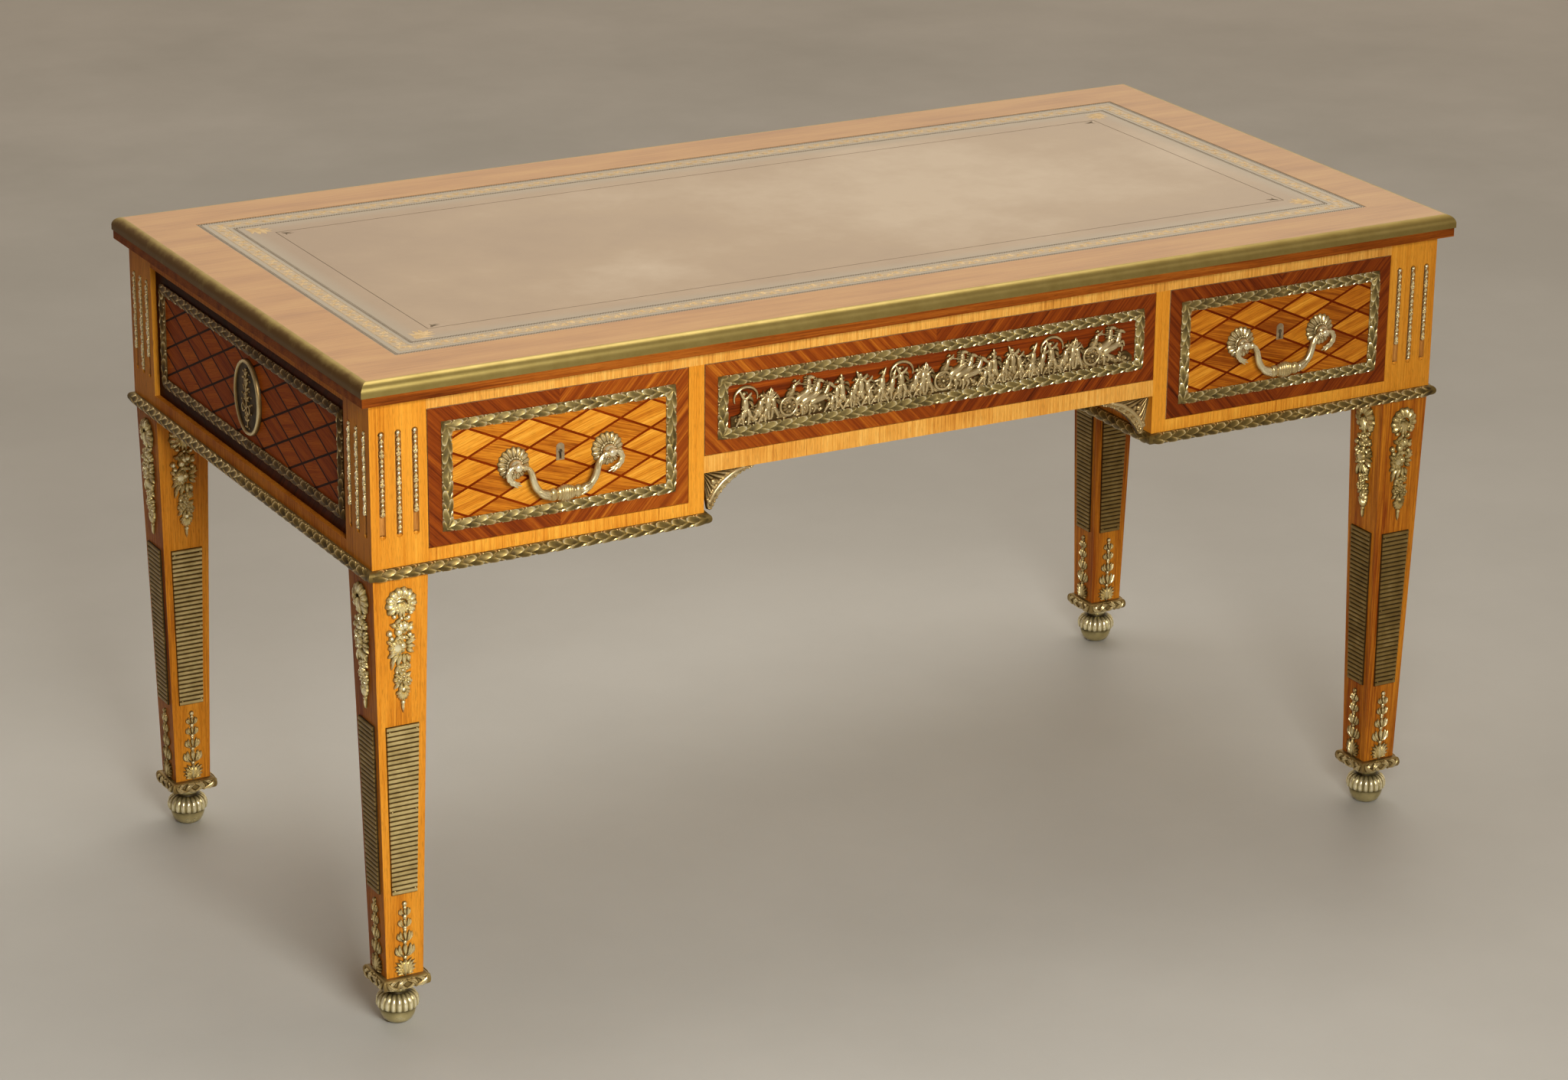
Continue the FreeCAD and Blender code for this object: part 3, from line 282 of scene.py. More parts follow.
class Form:
    """The mesh of a piece. The crest of a vertex says how worn it is: 0 in a hollow, 1 on a ridge. On some
    mounts it also carries painted shade and painted highlights.
    """

    def __init__(self):
        self.rows, self.count = [], 0

    def add(self, points, crests, quads, tris):
        faces = [np.asarray(f, int).reshape(-1, n) + self.count for f, n in ((quads, 4), (tris, 3))]
        self.rows.append((points, crests, *faces))
        self.count += len(points)

    def arrays(self):
        return [np.concatenate(column) for column in zip(*self.rows)]

    def stamp(self, other, place, rub_and_painted_light=1.0):
        """Adds a copy of another form, with its points moved by a function. The last factor scales its
        crests, for wear and on some mounts for painted shade and painted highlights.
        """
        points, crests, quads, tris = other.arrays()
        self.add(place(points), rub_and_painted_light * crests, quads, tris)

    def loft(self, rings, crests):
        """A closed skin through rings of points. An end ring of one repeated point makes a tip."""
        rings = np.asarray(rings, float)
        crests = np.broadcast_to(np.asarray(crests, float), rings.shape[:2])
        tips, tip_crests = rings[[0, -1]].mean(1), crests[[0, -1]].mean(1)
        if np.ptp(rings[0], axis=0).max() < 1e-6:
            rings, crests = rings[1:], crests[1:]
        if np.ptp(rings[-1], axis=0).max() < 1e-6:
            rings, crests = rings[:-1], crests[:-1]
        rows, columns = rings.shape[:2]
        index = np.arange(rows * columns).reshape(rows, columns)
        ahead = np.roll(index, -1, axis=1)
        quads = np.stack([index[:-1], ahead[:-1], ahead[1:], index[1:]], -1)
        tip = np.full(columns, rows * columns)
        tris = np.stack([(tip, ahead[0], index[0]), (tip + 1, index[-1], ahead[-1])]).swapaxes(1, 2)
        points = np.vstack([rings.reshape(-1, 3), tips])
        self.add(points, np.concatenate([crests.reshape(-1), tip_crests]), quads, tris)

    def piece(self, name, look, body, nodes=(), slot="gilt_brass", sharp=48.0):
        """Makes the Blender object, rides it on a body and says which solids it stands for."""
        points, crests, quads, tris = self.arrays()
        mesh = bpy.data.meshes.new(name)
        mesh.from_pydata((points * MM).tolist(), [], quads.tolist() + tris.tolist())
        mesh.attributes.new("crest", "FLOAT", "POINT").data.foreach_set("value", crests.astype(np.float32))
        tidy = bmesh.new()
        tidy.from_mesh(mesh)
        bmesh.ops.recalc_face_normals(tidy, faces=tidy.faces)
        tidy.to_mesh(mesh)
        tidy.free()
        mesh.shade_smooth()
        mesh.set_sharp_from_angle(angle=math.radians(sharp))
        show(name, mesh, [look], body, nodes)


def show(name, mesh, looks, body, nodes):
    made = bpy.data.objects.new(name, mesh)
    bpy.context.scene.collection.objects.link(made)
    for look in looks:
        mesh.materials.append(LOOK[look])
    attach(made, body)
    if nodes:
        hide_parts(*nodes)


def on_plane(origin, right, up, out):
    """A function from (right, up, out) points to the desk's own."""
    basis = np.array([right, up, out], float)
    return lambda points: np.asarray(origin, float) + points @ basis


def on_face(origin, out):
    """The same for an upright face that looks along out."""
    return on_plane(origin, np.cross(UP, out), UP, out)


def box(half_u, half_w, u=0.0, w=0.0):
    """The corners of a rectangle round a point."""
    return np.array([(u + i * half_u, w + j * half_w) for i, j in ((-1, -1), (1, -1), (1, 1), (-1, 1))])


def circle(around):
    turn = np.linspace(0.0, 2 * np.pi, around, endpoint=False)
    return np.cos(turn), np.sin(turn)


def spoke(centre, angle, reach):
    """The point at an angle from a centre. Reach may differ between the two axes."""
    return np.asarray(centre) + np.multiply(reach, (math.cos(angle), math.sin(angle)))


def arc(centre, reach, start, end, count, out):
    """Points of an arc at a height over the plane."""
    return [(*spoke(centre, angle, reach), out) for angle in np.linspace(start, end, count)]


ALONG, RIMMED = np.array([(-1, -0.6, -0.22, 0, 0.22, 0.6, 1), (-1, -0.78, -0.48, 0, 0.48, 0.78, 1)])


def leaf(form, base, tip, width, height, belly=0.45, bend=0.0, lift=(0.0, 0.0), vein=0.3, blunt=False,
         scale=False, steps=7):
    """A domed leaf from base to tip, with a grooved middle. A blunt leaf is a petal, and a scale rises to
    a rim at its tip."""
    base, tip = np.array(base, float), np.array(tip, float)
    s = np.linspace(0.0, 1.0, steps + 1)[:, None]
    if scale:
        s = 1.0 - (1.0 - s) ** 1.7
    axis = tip - base
    length = np.hypot(*axis)
    side = np.array([-axis[1], axis[0]]) / length
    if blunt:
        end = np.sqrt(np.maximum(0.0, 1.0 - ((s - belly) / (1.0 - belly)) ** 2))
        half = np.where(s < belly, 0.3 + 0.7 * np.sin(0.5 * np.pi * s / belly), end)
    else:
        half = np.sin(np.pi * s ** (math.log(0.5) / math.log(belly))) ** 0.85
    half[np.abs(half) < 1e-6] = 0.0
    if scale:
        across, dome = RIMMED, np.array([0.0, 1.0, 0.84, 1.0 - vein, 0.84, 1.0, 0.0])
        # Scales are worn bright at the rim towards the tip, which also stands for painted highlights there
        rim = np.array([0.8, 1.0, 0.3, 0.15, 0.3, 1.0, 0.8])
        rise = (0.12 + 0.88 * s) * np.sqrt(np.maximum(0.0, 1.0 - s ** 8))
        crest = 0.2 + 0.9 * np.maximum(s ** 5, rim * s ** 1.6)
    else:
        across, dome = ALONG, np.array([0.0, 0.72, 1.0, 1.0 - vein, 1.0, 0.72, 0.0])
        rise = np.sin(np.pi * (0.14 + 0.72 * s)) ** 0.7
        crest = 0.1 + 0.85 * rise * dome
    dome = np.where(half > 0, dome, 0.4)
    middle = base + axis * s + side * (bend * length * 4 * s * (1 - s))
    flat = middle[:, None, :] + side * (half * width / 2 * across)[..., None]
    out = lift[0] + (lift[1] - lift[0]) * s + height * rise * dome
    form.loft(np.concatenate([flat, out[..., None]], -1), crest)


def leaves(form, rows, height, flip=(1, 1), shift=(0, 0), **settings):
    """Leaves from rows of (base u, base w, tip u, tip w, width, bend if any), mirrored by flip and moved."""
    for u, w, tip_u, tip_w, width, *bend in rows:
        base, tip = np.array([(u, w), (tip_u, tip_w)]) * flip + shift
        leaf(form, base, tip, width, height, bend=sum(bend) * flip[0] * flip[1], **settings)


def ray(form, centre, angle, start, end, width, height, **settings):
    """A leaf that points away from a centre."""
    leaf(form, spoke(centre, angle, start), spoke(centre, angle, end), width, height, **settings)


def bead(form, u, w, radius, height=None, floor=0.0, around=10):
    """A round boss on the plane."""
    rise = radius if height is None else height
    x, y = circle(around)
    rings, crests = [], []
    for angle in np.radians([0, 24, 48, 70, 90]):
        spread = radius * math.cos(angle) if angle < 1.57 else 0.0
        level = floor + rise * math.sin(angle)
        rings.append(np.stack([u + spread * x, w + spread * y, np.full(around, level)], -1))
        crests.append(np.full(around, 0.12 + 0.8 * math.sin(angle)))
    form.loft(rings, crests)


def tube(form, path, radii, around=8, crest=None):
    """A rod along a path of (right, up, out) points, with a radius at each."""
    path = np.asarray(path, float)
    radii = np.broadcast_to(np.asarray(radii, float), len(path))
    tangent = np.gradient(path, axis=0)
    tangent /= np.linalg.norm(tangent, axis=1)[:, None]
    across = np.cross(tangent[0], (0.31, 0.22, 0.93))
    x, y = circle(around)
    rings, crests = [], []
    for point, along, radius in zip(path, tangent, radii):
        across = across - along * (across @ along)
        across /= np.linalg.norm(across)
        spokes = x[:, None] * across + y[:, None] * np.cross(along, across)
        rings.append(point + radius * spokes)
        crests.append(0.5 + 0.4 * spokes[:, 2] if crest is None else np.full(around, crest))
    form.loft(rings, crests)


def smooth_path(points, count):
    """A curve through points, by cubic pieces."""
    points = np.asarray(points, float)
    padded = np.vstack([2 * points[0] - points[1], points, 2 * points[-1] - points[-2]])
    t = np.linspace(0.0, len(points) - 1.0, count)
    i = np.minimum(t.astype(int), len(points) - 2)
    f = (t - i)[:, None]
    a, b, c, d = padded[i], padded[i + 1], padded[i + 2], padded[i + 3]
    square, cube = 2 * a - 5 * b + 4 * c - d, 3 * b - a - 3 * c + d
    return 0.5 * (2 * b + (c - a) * f + square * f ** 2 + cube * f ** 3)


def lathe(profile, around, lobes=0, depth=0.0):
    """A turned form round the third axis. Profile rows are (radius, height, crest, share of lobes if any)."""
    form = Form()
    x, y = circle(around)
    hollow = 1.0 - np.abs(np.cos(np.linspace(0.0, lobes * np.pi, around, endpoint=False)))
    rings, crests = [], []
    for radius, height, crest, *part in profile:
        share = sum(part)
        r = radius * (1.0 - depth * share * hollow)
        rings.append(np.stack([r * x, r * y, np.full(around, height)], -1))
        crests.append(np.clip(crest - 0.6 * share * hollow + 0.15 * share, 0, 1))
    form.loft(rings, crests)
    return form


# Laurel mouldings

LAUREL_STEP, LAUREL_TURN = 9.8, math.radians(80) / 7.44
FRAME_WIDTH, FRAME_HEIGHT = 12.0, 6.0
ROD_WIDTH, ROD_DEPTH, ROD_Z = 13.0, 9.0, 554.5

# One step of a laurel: a leaf to the left over an edge leaf and a berry to the right
LAUREL = Form()
SCALE = dict(blunt=True, scale=True)
leaf(LAUREL, (-4.0, -0.4), (14.4, 3.9), 7.8, 2.0, belly=0.55, bend=0.06, vein=0.35, steps=9, **SCALE)
leaf(LAUREL, (-1.0, -3.2), (11.0, -6.6), 5.4, 1.5, belly=0.5, **SCALE)
bead(LAUREL, 13.4, -6.4, 1.3, 1.4, around=8)

# One step of the leafage on the leg collars
SCROLL_LEAVES = Form()
leaf(SCROLL_LEAVES, (-2.0, -5.4), (11.0, 3.0), 6.4, 2.0, bend=0.22, lift=(0.0, 0.6))
leaf(SCROLL_LEAVES, (1.0, 4.6), (11.5, -4.6), 5.0, 1.7, bend=-0.25, lift=(0.0, 0.4))
leaf(SCROLL_LEAVES, (2.0, -1.0), (5.0, 6.6), 3.8, 1.5, bend=0.2)
bead(SCROLL_LEAVES, 9.4, 5.4, 1.4, 1.4, around=8)


def laurel(form, place, length, width, height, base, limit, unit=LAUREL, ground=0.3):
    """A half-round bar covered with laurel that points to its middle. Bar points are (along, across, out),
    limit gives what the bar's half length grows by at an across and out, and ground is the crest between
    the leaves."""
    half = length / 2
    core_half, core_rise = width / 2 - 0.4, height - base - 1.7
    angles = np.radians(np.linspace(-84, 84, 11))
    section = np.stack([core_half * np.sin(angles), base + core_rise * np.cos(angles)], -1)
    foot = np.array([(-width / 2, 0.0), (-width / 2, base * 0.8)])
    section = np.vstack([foot, section, foot[::-1] * (-1, 1)])
    ends = [[(side * (half + limit(c, n)), c, n) for c, n in section] for side in (-1, 1)]
    form.loft([place(np.array(points)) for points in ends], ground)
    count = max(2, round((half - 1.0) / LAUREL_STEP))
    step = (half - 1.0) / count
    points, crests, quads, tris = unit.arrays()
    for side in (-1, 1):
        for k in range(count):
            s, q, h = points[:, 0], points[:, 1] * (1 if k % 2 else -1), points[:, 2]
            across = (core_half + h) * np.sin(q * LAUREL_TURN)
            out = base + (core_rise + h) * np.cos(q * LAUREL_TURN)
            along = np.minimum(-half + 1.0 + (k + 0.1) * step + s * (step / LAUREL_STEP), -0.03)
            end = half + limit(across, out)
            along = np.clip(along, -end, end) * -side
            form.add(place(np.stack([along, across, out], -1)), crests, quads, tris)


def laurel_frame(form, centre, face, out):
    """A mitred frame of laurel inside the crossbanding of an upright face."""
    size = np.array(face) - 2 * CROSSBAND
    right = np.cross(UP, out)
    for along, across in ((right, UP), (-UP, right), (-right, -UP), (UP, -right)):
        length, span = size[::-1] if along[2] else size
        place = on_plane(centre + across * (span / 2 - FRAME_WIDTH / 2), along, across, out)
        laurel(form, place, length, FRAME_WIDTH, FRAME_HEIGHT, 0.9, lambda c, n: c - FRAME_WIDTH / 2)


SIDE_FACE = (POST_INNER_X - DIVIDER_X - DRAWER_PLAY, OPENING_TOP - SIDE_BOTTOM - DRAWER_PLAY)
CENTRE_FACE = (2 * KNEE_X - DRAWER_PLAY, OPENING_TOP - CENTRE_BOTTOM - DRAWER_PLAY)
PANEL = (2 * POST_INNER_Y, OPENING_TOP - SIDE_BOTTOM)
SIDE_Z, CENTRE_Z = (OPENING_TOP + SIDE_BOTTOM) / 2, (OPENING_TOP + CENTRE_BOTTOM) / 2
DRAWERS = (("left", -DRAWER_X, SIDE_Z, SIDE_FACE), ("right", DRAWER_X, SIDE_Z, SIDE_FACE),
           ("centre", 0.0, CENTRE_Z, CENTRE_FACE))

back_frames, side_frames, rods = Form(), Form(), Form()
for name, x, z, face in DRAWERS:
    front_frame = Form()
    laurel_frame(front_frame, (x, -HALF_DEPTH, z), face, FRONT)
    front_frame.piece(name + "_laurel", "ormolu", name + "_drawer", [name + "_drawer_laurel_frame"])
    laurel_frame(back_frames, (x, HALF_DEPTH, z), face, BACK)
back_frames.piece("back_laurel", "ormolu", "case", ["back_laurel_frames"])
for sign, _, side in SIDES:
    laurel_frame(side_frames, (sign * PANEL_X, 0, SIDE_Z), PANEL, side)
    width, middle = HALF_WIDTH - KNEE_X, sign * (HALF_WIDTH + KNEE_X) / 2
    for x, y, out, length in ((middle, -HALF_DEPTH, FRONT, width), (middle, HALF_DEPTH, BACK, width),
                              (middle - width / 2, 0, LEFT, 2 * HALF_DEPTH),
                              (middle + width / 2, 0, RIGHT, 2 * HALF_DEPTH)):
        laurel(rods, on_face((x, y, ROD_Z), out), length, ROD_WIDTH, ROD_DEPTH, 2.0, lambda c, n: n)
# The side frames take the darker gilt: painted shade for the shaded sides
side_frames.piece("side_laurel", "dark_ormolu", "case", ["side_laurel_frames"])
rods.piece("rod_laurel", "rod_ormolu", "case", ["laurel_rods"])


# Veneers

LOZENGE_WIDTH, LOZENGE_HEIGHT, LINE_HALF = 75.0, 34.0, 1.35
BAND_COVER = 5.0
BAND_TURN, LINE_TURN, PALE_TURN, DARK_TURN = 48, 24.4, 17, -16
KEYHOLE_HALF = (4.0, 8.5)


def veneer(name, centre, size, out, body, looks, hole=None, depth=0.0, bands=(-0.04, 0.06)):
    """A veneered face: diagonal crossbanding that changes direction in the middle, round a lattice, or
    round a plain field where there is no look for lines. Hole is the height of a keyhole over the middle.
    Depth makes the woods darker, as painted shade, and bands gives the tones of the left and right
    crossbanding, partly painted sheen from their two grain directions."""
    sheet = bmesh.new()
    half_u, half_w = size[0] / 2, size[1] / 2
    sheet.faces.new([sheet.verts.new((*corner, 0)) for corner in box(half_u, half_w)])

    def cut(point, normal):
        bmesh.ops.bisect_plane(sheet, geom=sheet.verts[:] + sheet.edges[:] + sheet.faces[:],
                               plane_co=(*point, 0), plane_no=(*normal, 0), dist=1e-5)

    inner_u, inner_w = half_u - CROSSBAND - BAND_COVER, half_w - CROSSBAND - BAND_COVER
    cut((0, 0), (1, 0))
    for sign in (-1, 1):
        cut((sign * inner_u, 0), (1, 0))
        cut((0, sign * inner_w), (0, 1))
    slope = LOZENGE_HEIGHT / LOZENGE_WIDTH
    half_line = LINE_HALF * math.hypot(1.0, slope)
    lattice = len(looks) > 2
    if lattice:
        count = math.ceil((inner_w + slope * inner_u) / LOZENGE_HEIGHT)
        for k in range(-count, count + 1):
            for lean in (-1, 1):
                for edge in (-half_line, half_line):
                    cut((0, k * LOZENGE_HEIGHT + edge), (-lean * slope, 1))
    if hole is not None:
        for sign in (-1, 1):
            cut((sign * KEYHOLE_HALF[0], 0), (1, 0))
            cut((0, hole + sign * KEYHOLE_HALF[1]), (0, 1))
        middles = [(f, f.calc_center_median()) for f in sheet.faces]
        inside = [f for f, m in middles if abs(m.x) < KEYHOLE_HALF[0] and abs(m.y - hole) < KEYHOLE_HALF[1]]
        bmesh.ops.delete(sheet, geom=inside, context="FACES")
    for item in bmesh.ops.extrude_face_region(sheet, geom=sheet.faces[:], use_keep_orig=True)["geom"]:
        if isinstance(item, bmesh.types.BMVert):
            item.co.z = VENEER
    bmesh.ops.recalc_face_normals(sheet, faces=sheet.faces)
    grain = sheet.loops.layers.uv.new("grain")
    tone = sheet.faces.layers.float.new("tone")
    shifts = {}
    for face in sheet.faces:
        u, w, _ = face.calc_center_median()
        down, rise = (w - slope * u) / LOZENGE_HEIGHT, (w + slope * u) / LOZENGE_HEIGHT
        if abs(u) > inner_u or abs(w) > inner_w:
            kind, key = 0, ("band", u > 0)
            # The two halves of the crossbanding differ in tone, partly as painted sheen from their two grain
            # directions
            turn, shade = (BAND_TURN, bands[1]) if u > 0 else (-BAND_TURN, bands[0])
        elif not lattice:
            kind, key, turn, shade = 1, "ground", 1, 0.0
        elif abs(down - round(down)) * LOZENGE_HEIGHT < half_line:
            kind, key, turn, shade = 2, ("down", round(down)), LINE_TURN, 0.0
        elif abs(rise - round(rise)) * LOZENGE_HEIGHT < half_line:
            kind, key, turn, shade = 2, ("rise", round(rise)), -LINE_TURN, 0.0
        else:
            kind, key = 1, (math.floor(down), math.floor(rise))
            turn, shade = (PALE_TURN, 0.06) if sum(key) % 2 else (DARK_TURN, -0.05)
        if key not in shifts:
            shifts[key] = random.uniform(0, 3), random.uniform(0, 3), random.uniform(-1, 1)
        along, aside, jitter = shifts[key]
        face.material_index = kind
        # Depth darkens every face: painted shade
        face[tone] = shade + 0.03 * jitter - depth
        c, s = spoke((0, 0), math.radians(turn + 2 * jitter), 1)
        for loop in face.loops:
            x, y = loop.vert.co.x, loop.vert.co.y
            loop[grain].uv = ((x * c + y * s) * MM + along, (y * c - x * s) * MM + aside)
    mesh = bpy.data.meshes.new(name)
    place = on_face(centre, out)
    for vert in sheet.verts:
        vert.co = place(np.array(vert.co[:])) * MM
    bmesh.ops.recalc_face_normals(sheet, faces=sheet.faces)
    sheet.to_mesh(mesh)
    sheet.free()
    show(name, mesh, looks, body, ())


LATTICE = ["crossband_wood", "lozenge_wood", "line_wood"]
PLAIN_FIELD = ["crossband_wood", "ground_wood"]
SIDE_LATTICE = ["side_band_wood", "side_lozenge_wood", "side_line_wood"]
BACK_GROWTH = 1.4
# The right drawer's woods are darker, painted shade where the light falls off to the right, and each drawer's
# crossbanding has its own pair of tones, partly painted sheen
DRAWER_VENEER = {"left": (LATTICE, KEY_Z - SIDE_Z),
                 "right": (LATTICE, KEY_Z - SIDE_Z, 0.075, (0.05, 0.06)),
                 "centre": (PLAIN_FIELD, None, 0.0, (0.04, -0.06))}
for name, x, z, face in DRAWERS:
    veneer(name + "_drawer_veneer", (x, -HALF_DEPTH, z), face, FRONT, name + "_drawer", *DRAWER_VENEER[name])
    veneer(name + "_back_veneer", (x, HALF_DEPTH, z), np.array(face) + BACK_GROWTH, BACK, "case", LATTICE)
for sign, name, side in SIDES:
    veneer(name + "_side_veneer", (sign * PANEL_X, 0, SIDE_Z), PANEL, side, "case", SIDE_LATTICE)


# Handles

SHELL_RIBS, BARREL_RINGS = 18, 6
BAIL_DEPTH = 0.865


def rosette():
    """A ribbed shell with a domed hub, on a drawer front."""
    form = lathe((
        (0, 0.2, 0.1), (16.5, 0.2, 0.1), (16.5, 1.0, 0.1), (10.0, 3.2, 0.2), (9.4, 5.0, 0.6), (8.6, 5.6, 0.9),
        (7.8, 5.0, 0.2), (7.9, 6.2, 0.5), (7.4, 8.6, 0.75), (6.0, 10.6, 0.95), (4.4, 11.6, 0.6),
        (3.9, 12.2, 0.2), (4.7, 13.2, 0.7), (5.0, 14.6, 0.85), (4.4, 16.4, 0.95), (2.6, 17.6, 1.0),
        (0, 18.0, 1.0)), 32)
    for angle in 2 * np.pi * (np.arange(SHELL_RIBS) + 0.5) / SHELL_RIBS:
        ray(form, (0, 0), angle, 8.2, 20.0 + 1.2 * math.sin(angle), 6.9, 2.6, belly=0.76, lift=(3.0, 0.1),
            vein=0.42, blunt=True)
        bead(form, *spoke((0, 0), angle, 9.3), 1.3, 1.2, 4.6, around=6)
    return form


def sheath(form, path, count, swing, stations, radii):
    """Thin lobes round a path, through (index, distance) stations along it."""
    for turn in np.linspace(0, 2 * np.pi, count, endpoint=False):
        c, s = spoke((0, 0), turn, 1)
        away = np.array([swing[0] * c, swing[1] * c, s])
        tube(form, [path[i] + away * r for i, r in stations], radii, around=6)


def bail():
    """A drop handle round its pivot: knees, falling arms, leaf cups, and a ringed barrel between beads."""
    form = Form()
    for side in (-1, 1):
        def curve(count, *points):
            return smooth_path(np.array([(u, w, n) for u, w, n in points]) * (side, 1, 1), count)

        arm = curve(44, (58, 0, 0), (51, -0.4, 0.4), (45, -3.0, 0.5), (41.4, -9, 0.3), (39.4, -17, 0),
                    (36.4, -25.5, 0), (30.8, -32.6, 0), (24, -36.6, 0), (16, -38, 0))
        s = np.linspace(0, 1, 44)
        tube(form, arm, 2.7 + 1.7 * np.sin(np.pi * np.clip((s - 0.25) / 0.72, 0, 1)), around=12)
        tube(form, curve(7, (52.4, -0.2, 0.3), (49.6, -0.9, 0.4), (47, -1.9, 0.5)),
             [2.6, 3.9, 4.6, 3.7, 4.2, 3.6, 2.6], around=12)
        sheath(form, arm, 6, (side * 0.8, 0.5), ((11, 2.7), (14, 3.5), (17, 3.7), (20, 4.6)),
               [0.7, 1.5, 1.4, 0.3])
        cup = curve(10, (34, -29.6, 0), (29.6, -33.8, 0), (24.2, -36.6, 0), (18.6, -37.8, 0))
        tube(form, cup, [2.6, 3.4, 4.1, 4.7, 5.1, 5.4, 5.6, 5.7, 5.2, 3.2], around=14)
        sheath(form, cup, 9, (side * 0.35, 0.9), ((0, 2.6), (2, 4.0), (5, 5.4), (7, 5.9), (8, 6.1)),
               [0.5, 1.0, 1.3, 1.2, 0.4])
        tail = curve(30, (57, 0.2, 0.6), (63.5, 1.2, 1.0), (68.4, -2.4, 1.0), (69.6, -8.6, 0.8),
                     (66.5, -14.6, 0.6), (60.5, -18.6, 0.3), (53.5, -21.6, 0))
        s = np.linspace(0, 1, 30)
        tube(form, tail, 0.4 + 2.3 * np.sin(np.pi * (0.2 + 0.78 * s)) ** 0.8, around=10)
        for start in (5, 9, 13, 17, 21):
            for lean in (-1, 1):
                run = tail[start:start + 7]
                ahead = run[-1] - run[0]
                across = np.array([-ahead[1], ahead[0], 0.0]) / np.linalg.norm(ahead)
                lobe = run + across * lean * np.linspace(0.6, 2.9, 7)[:, None] + (0, 0, 0.9)
                tube(form, lobe, [0.6, 1.2, 1.5, 1.5, 1.3, 0.9, 0.3], around=6)
    bead_rows = [(-19.0, 2.8), (-18.2, 4.9), (-16.4, 5.7), (-13.6, 5.7), (-12.0, 4.6), (-11.2, 3.4),
                 (-10.4, 3.5), (-9.8, 5.4)]
    rows = bead_rows[:]
    for k in range(BARREL_RINGS):
        x = -8.7 + k * 2.9
        swell = 7.6 - 0.028 * (x + 1.45) ** 2
        rows += [(x, swell - 0.9), (x + 0.7, swell), (x + 1.7, swell), (x + 2.4, swell - 0.9)]
    rows += [(-x, r) for x, r in bead_rows[::-1]]
    barrel, slim = Form(), Form()
    tube(barrel, [(x, 0.0, 0.0) for x, r in rows], [r for x, r in rows], around=20, crest=0.68)
    form.stamp(barrel, lambda points: points * (1.0, 1.3, 0.92) + (0.0, -38.0, 0.0))
    slim.stamp(form, lambda points: points * (1.0, 1.0, BAIL_DEPTH))
    return slim


ROSETTE, BAIL = rosette(), bail()
for sign, name, _ in SIDES:
    shells, handle = Form(), Form()
    for side in (-1, 1):
        x = sign * DRAWER_X + side * HANDLE_SPACING / 2
        shells.stamp(ROSETTE, on_face((x, -HALF_DEPTH, HANDLE_Z), FRONT))
    shells.piece(name + "_rosettes", "handle_ormolu", name + "_drawer", [name + "_handle_rosettes"], sharp=60)
    handle.stamp(BAIL, on_face((sign * DRAWER_X, -HALF_DEPTH - PIVOT_REACH, HANDLE_Z), FRONT))
    handle.piece(name + "_bail", "handle_ormolu", name + "_bail", [name + "_handle_bail"], sharp=60)


# Leg mounts

def flower(form, u, w, radius, petals, height, floor=0.0, turn=0.0):
    for angle in turn + 2 * np.pi * np.arange(petals) / petals:
        ray(form, (u, w), angle, 0.2 * radius, radius, radius * 5.2 / petals, height * 0.75, belly=0.62,
            lift=(floor + height * 0.35, floor), vein=0.45, blunt=True, steps=5)
    bead(form, u, w, radius * 0.3, height * 0.8, floor + height * 0.25)


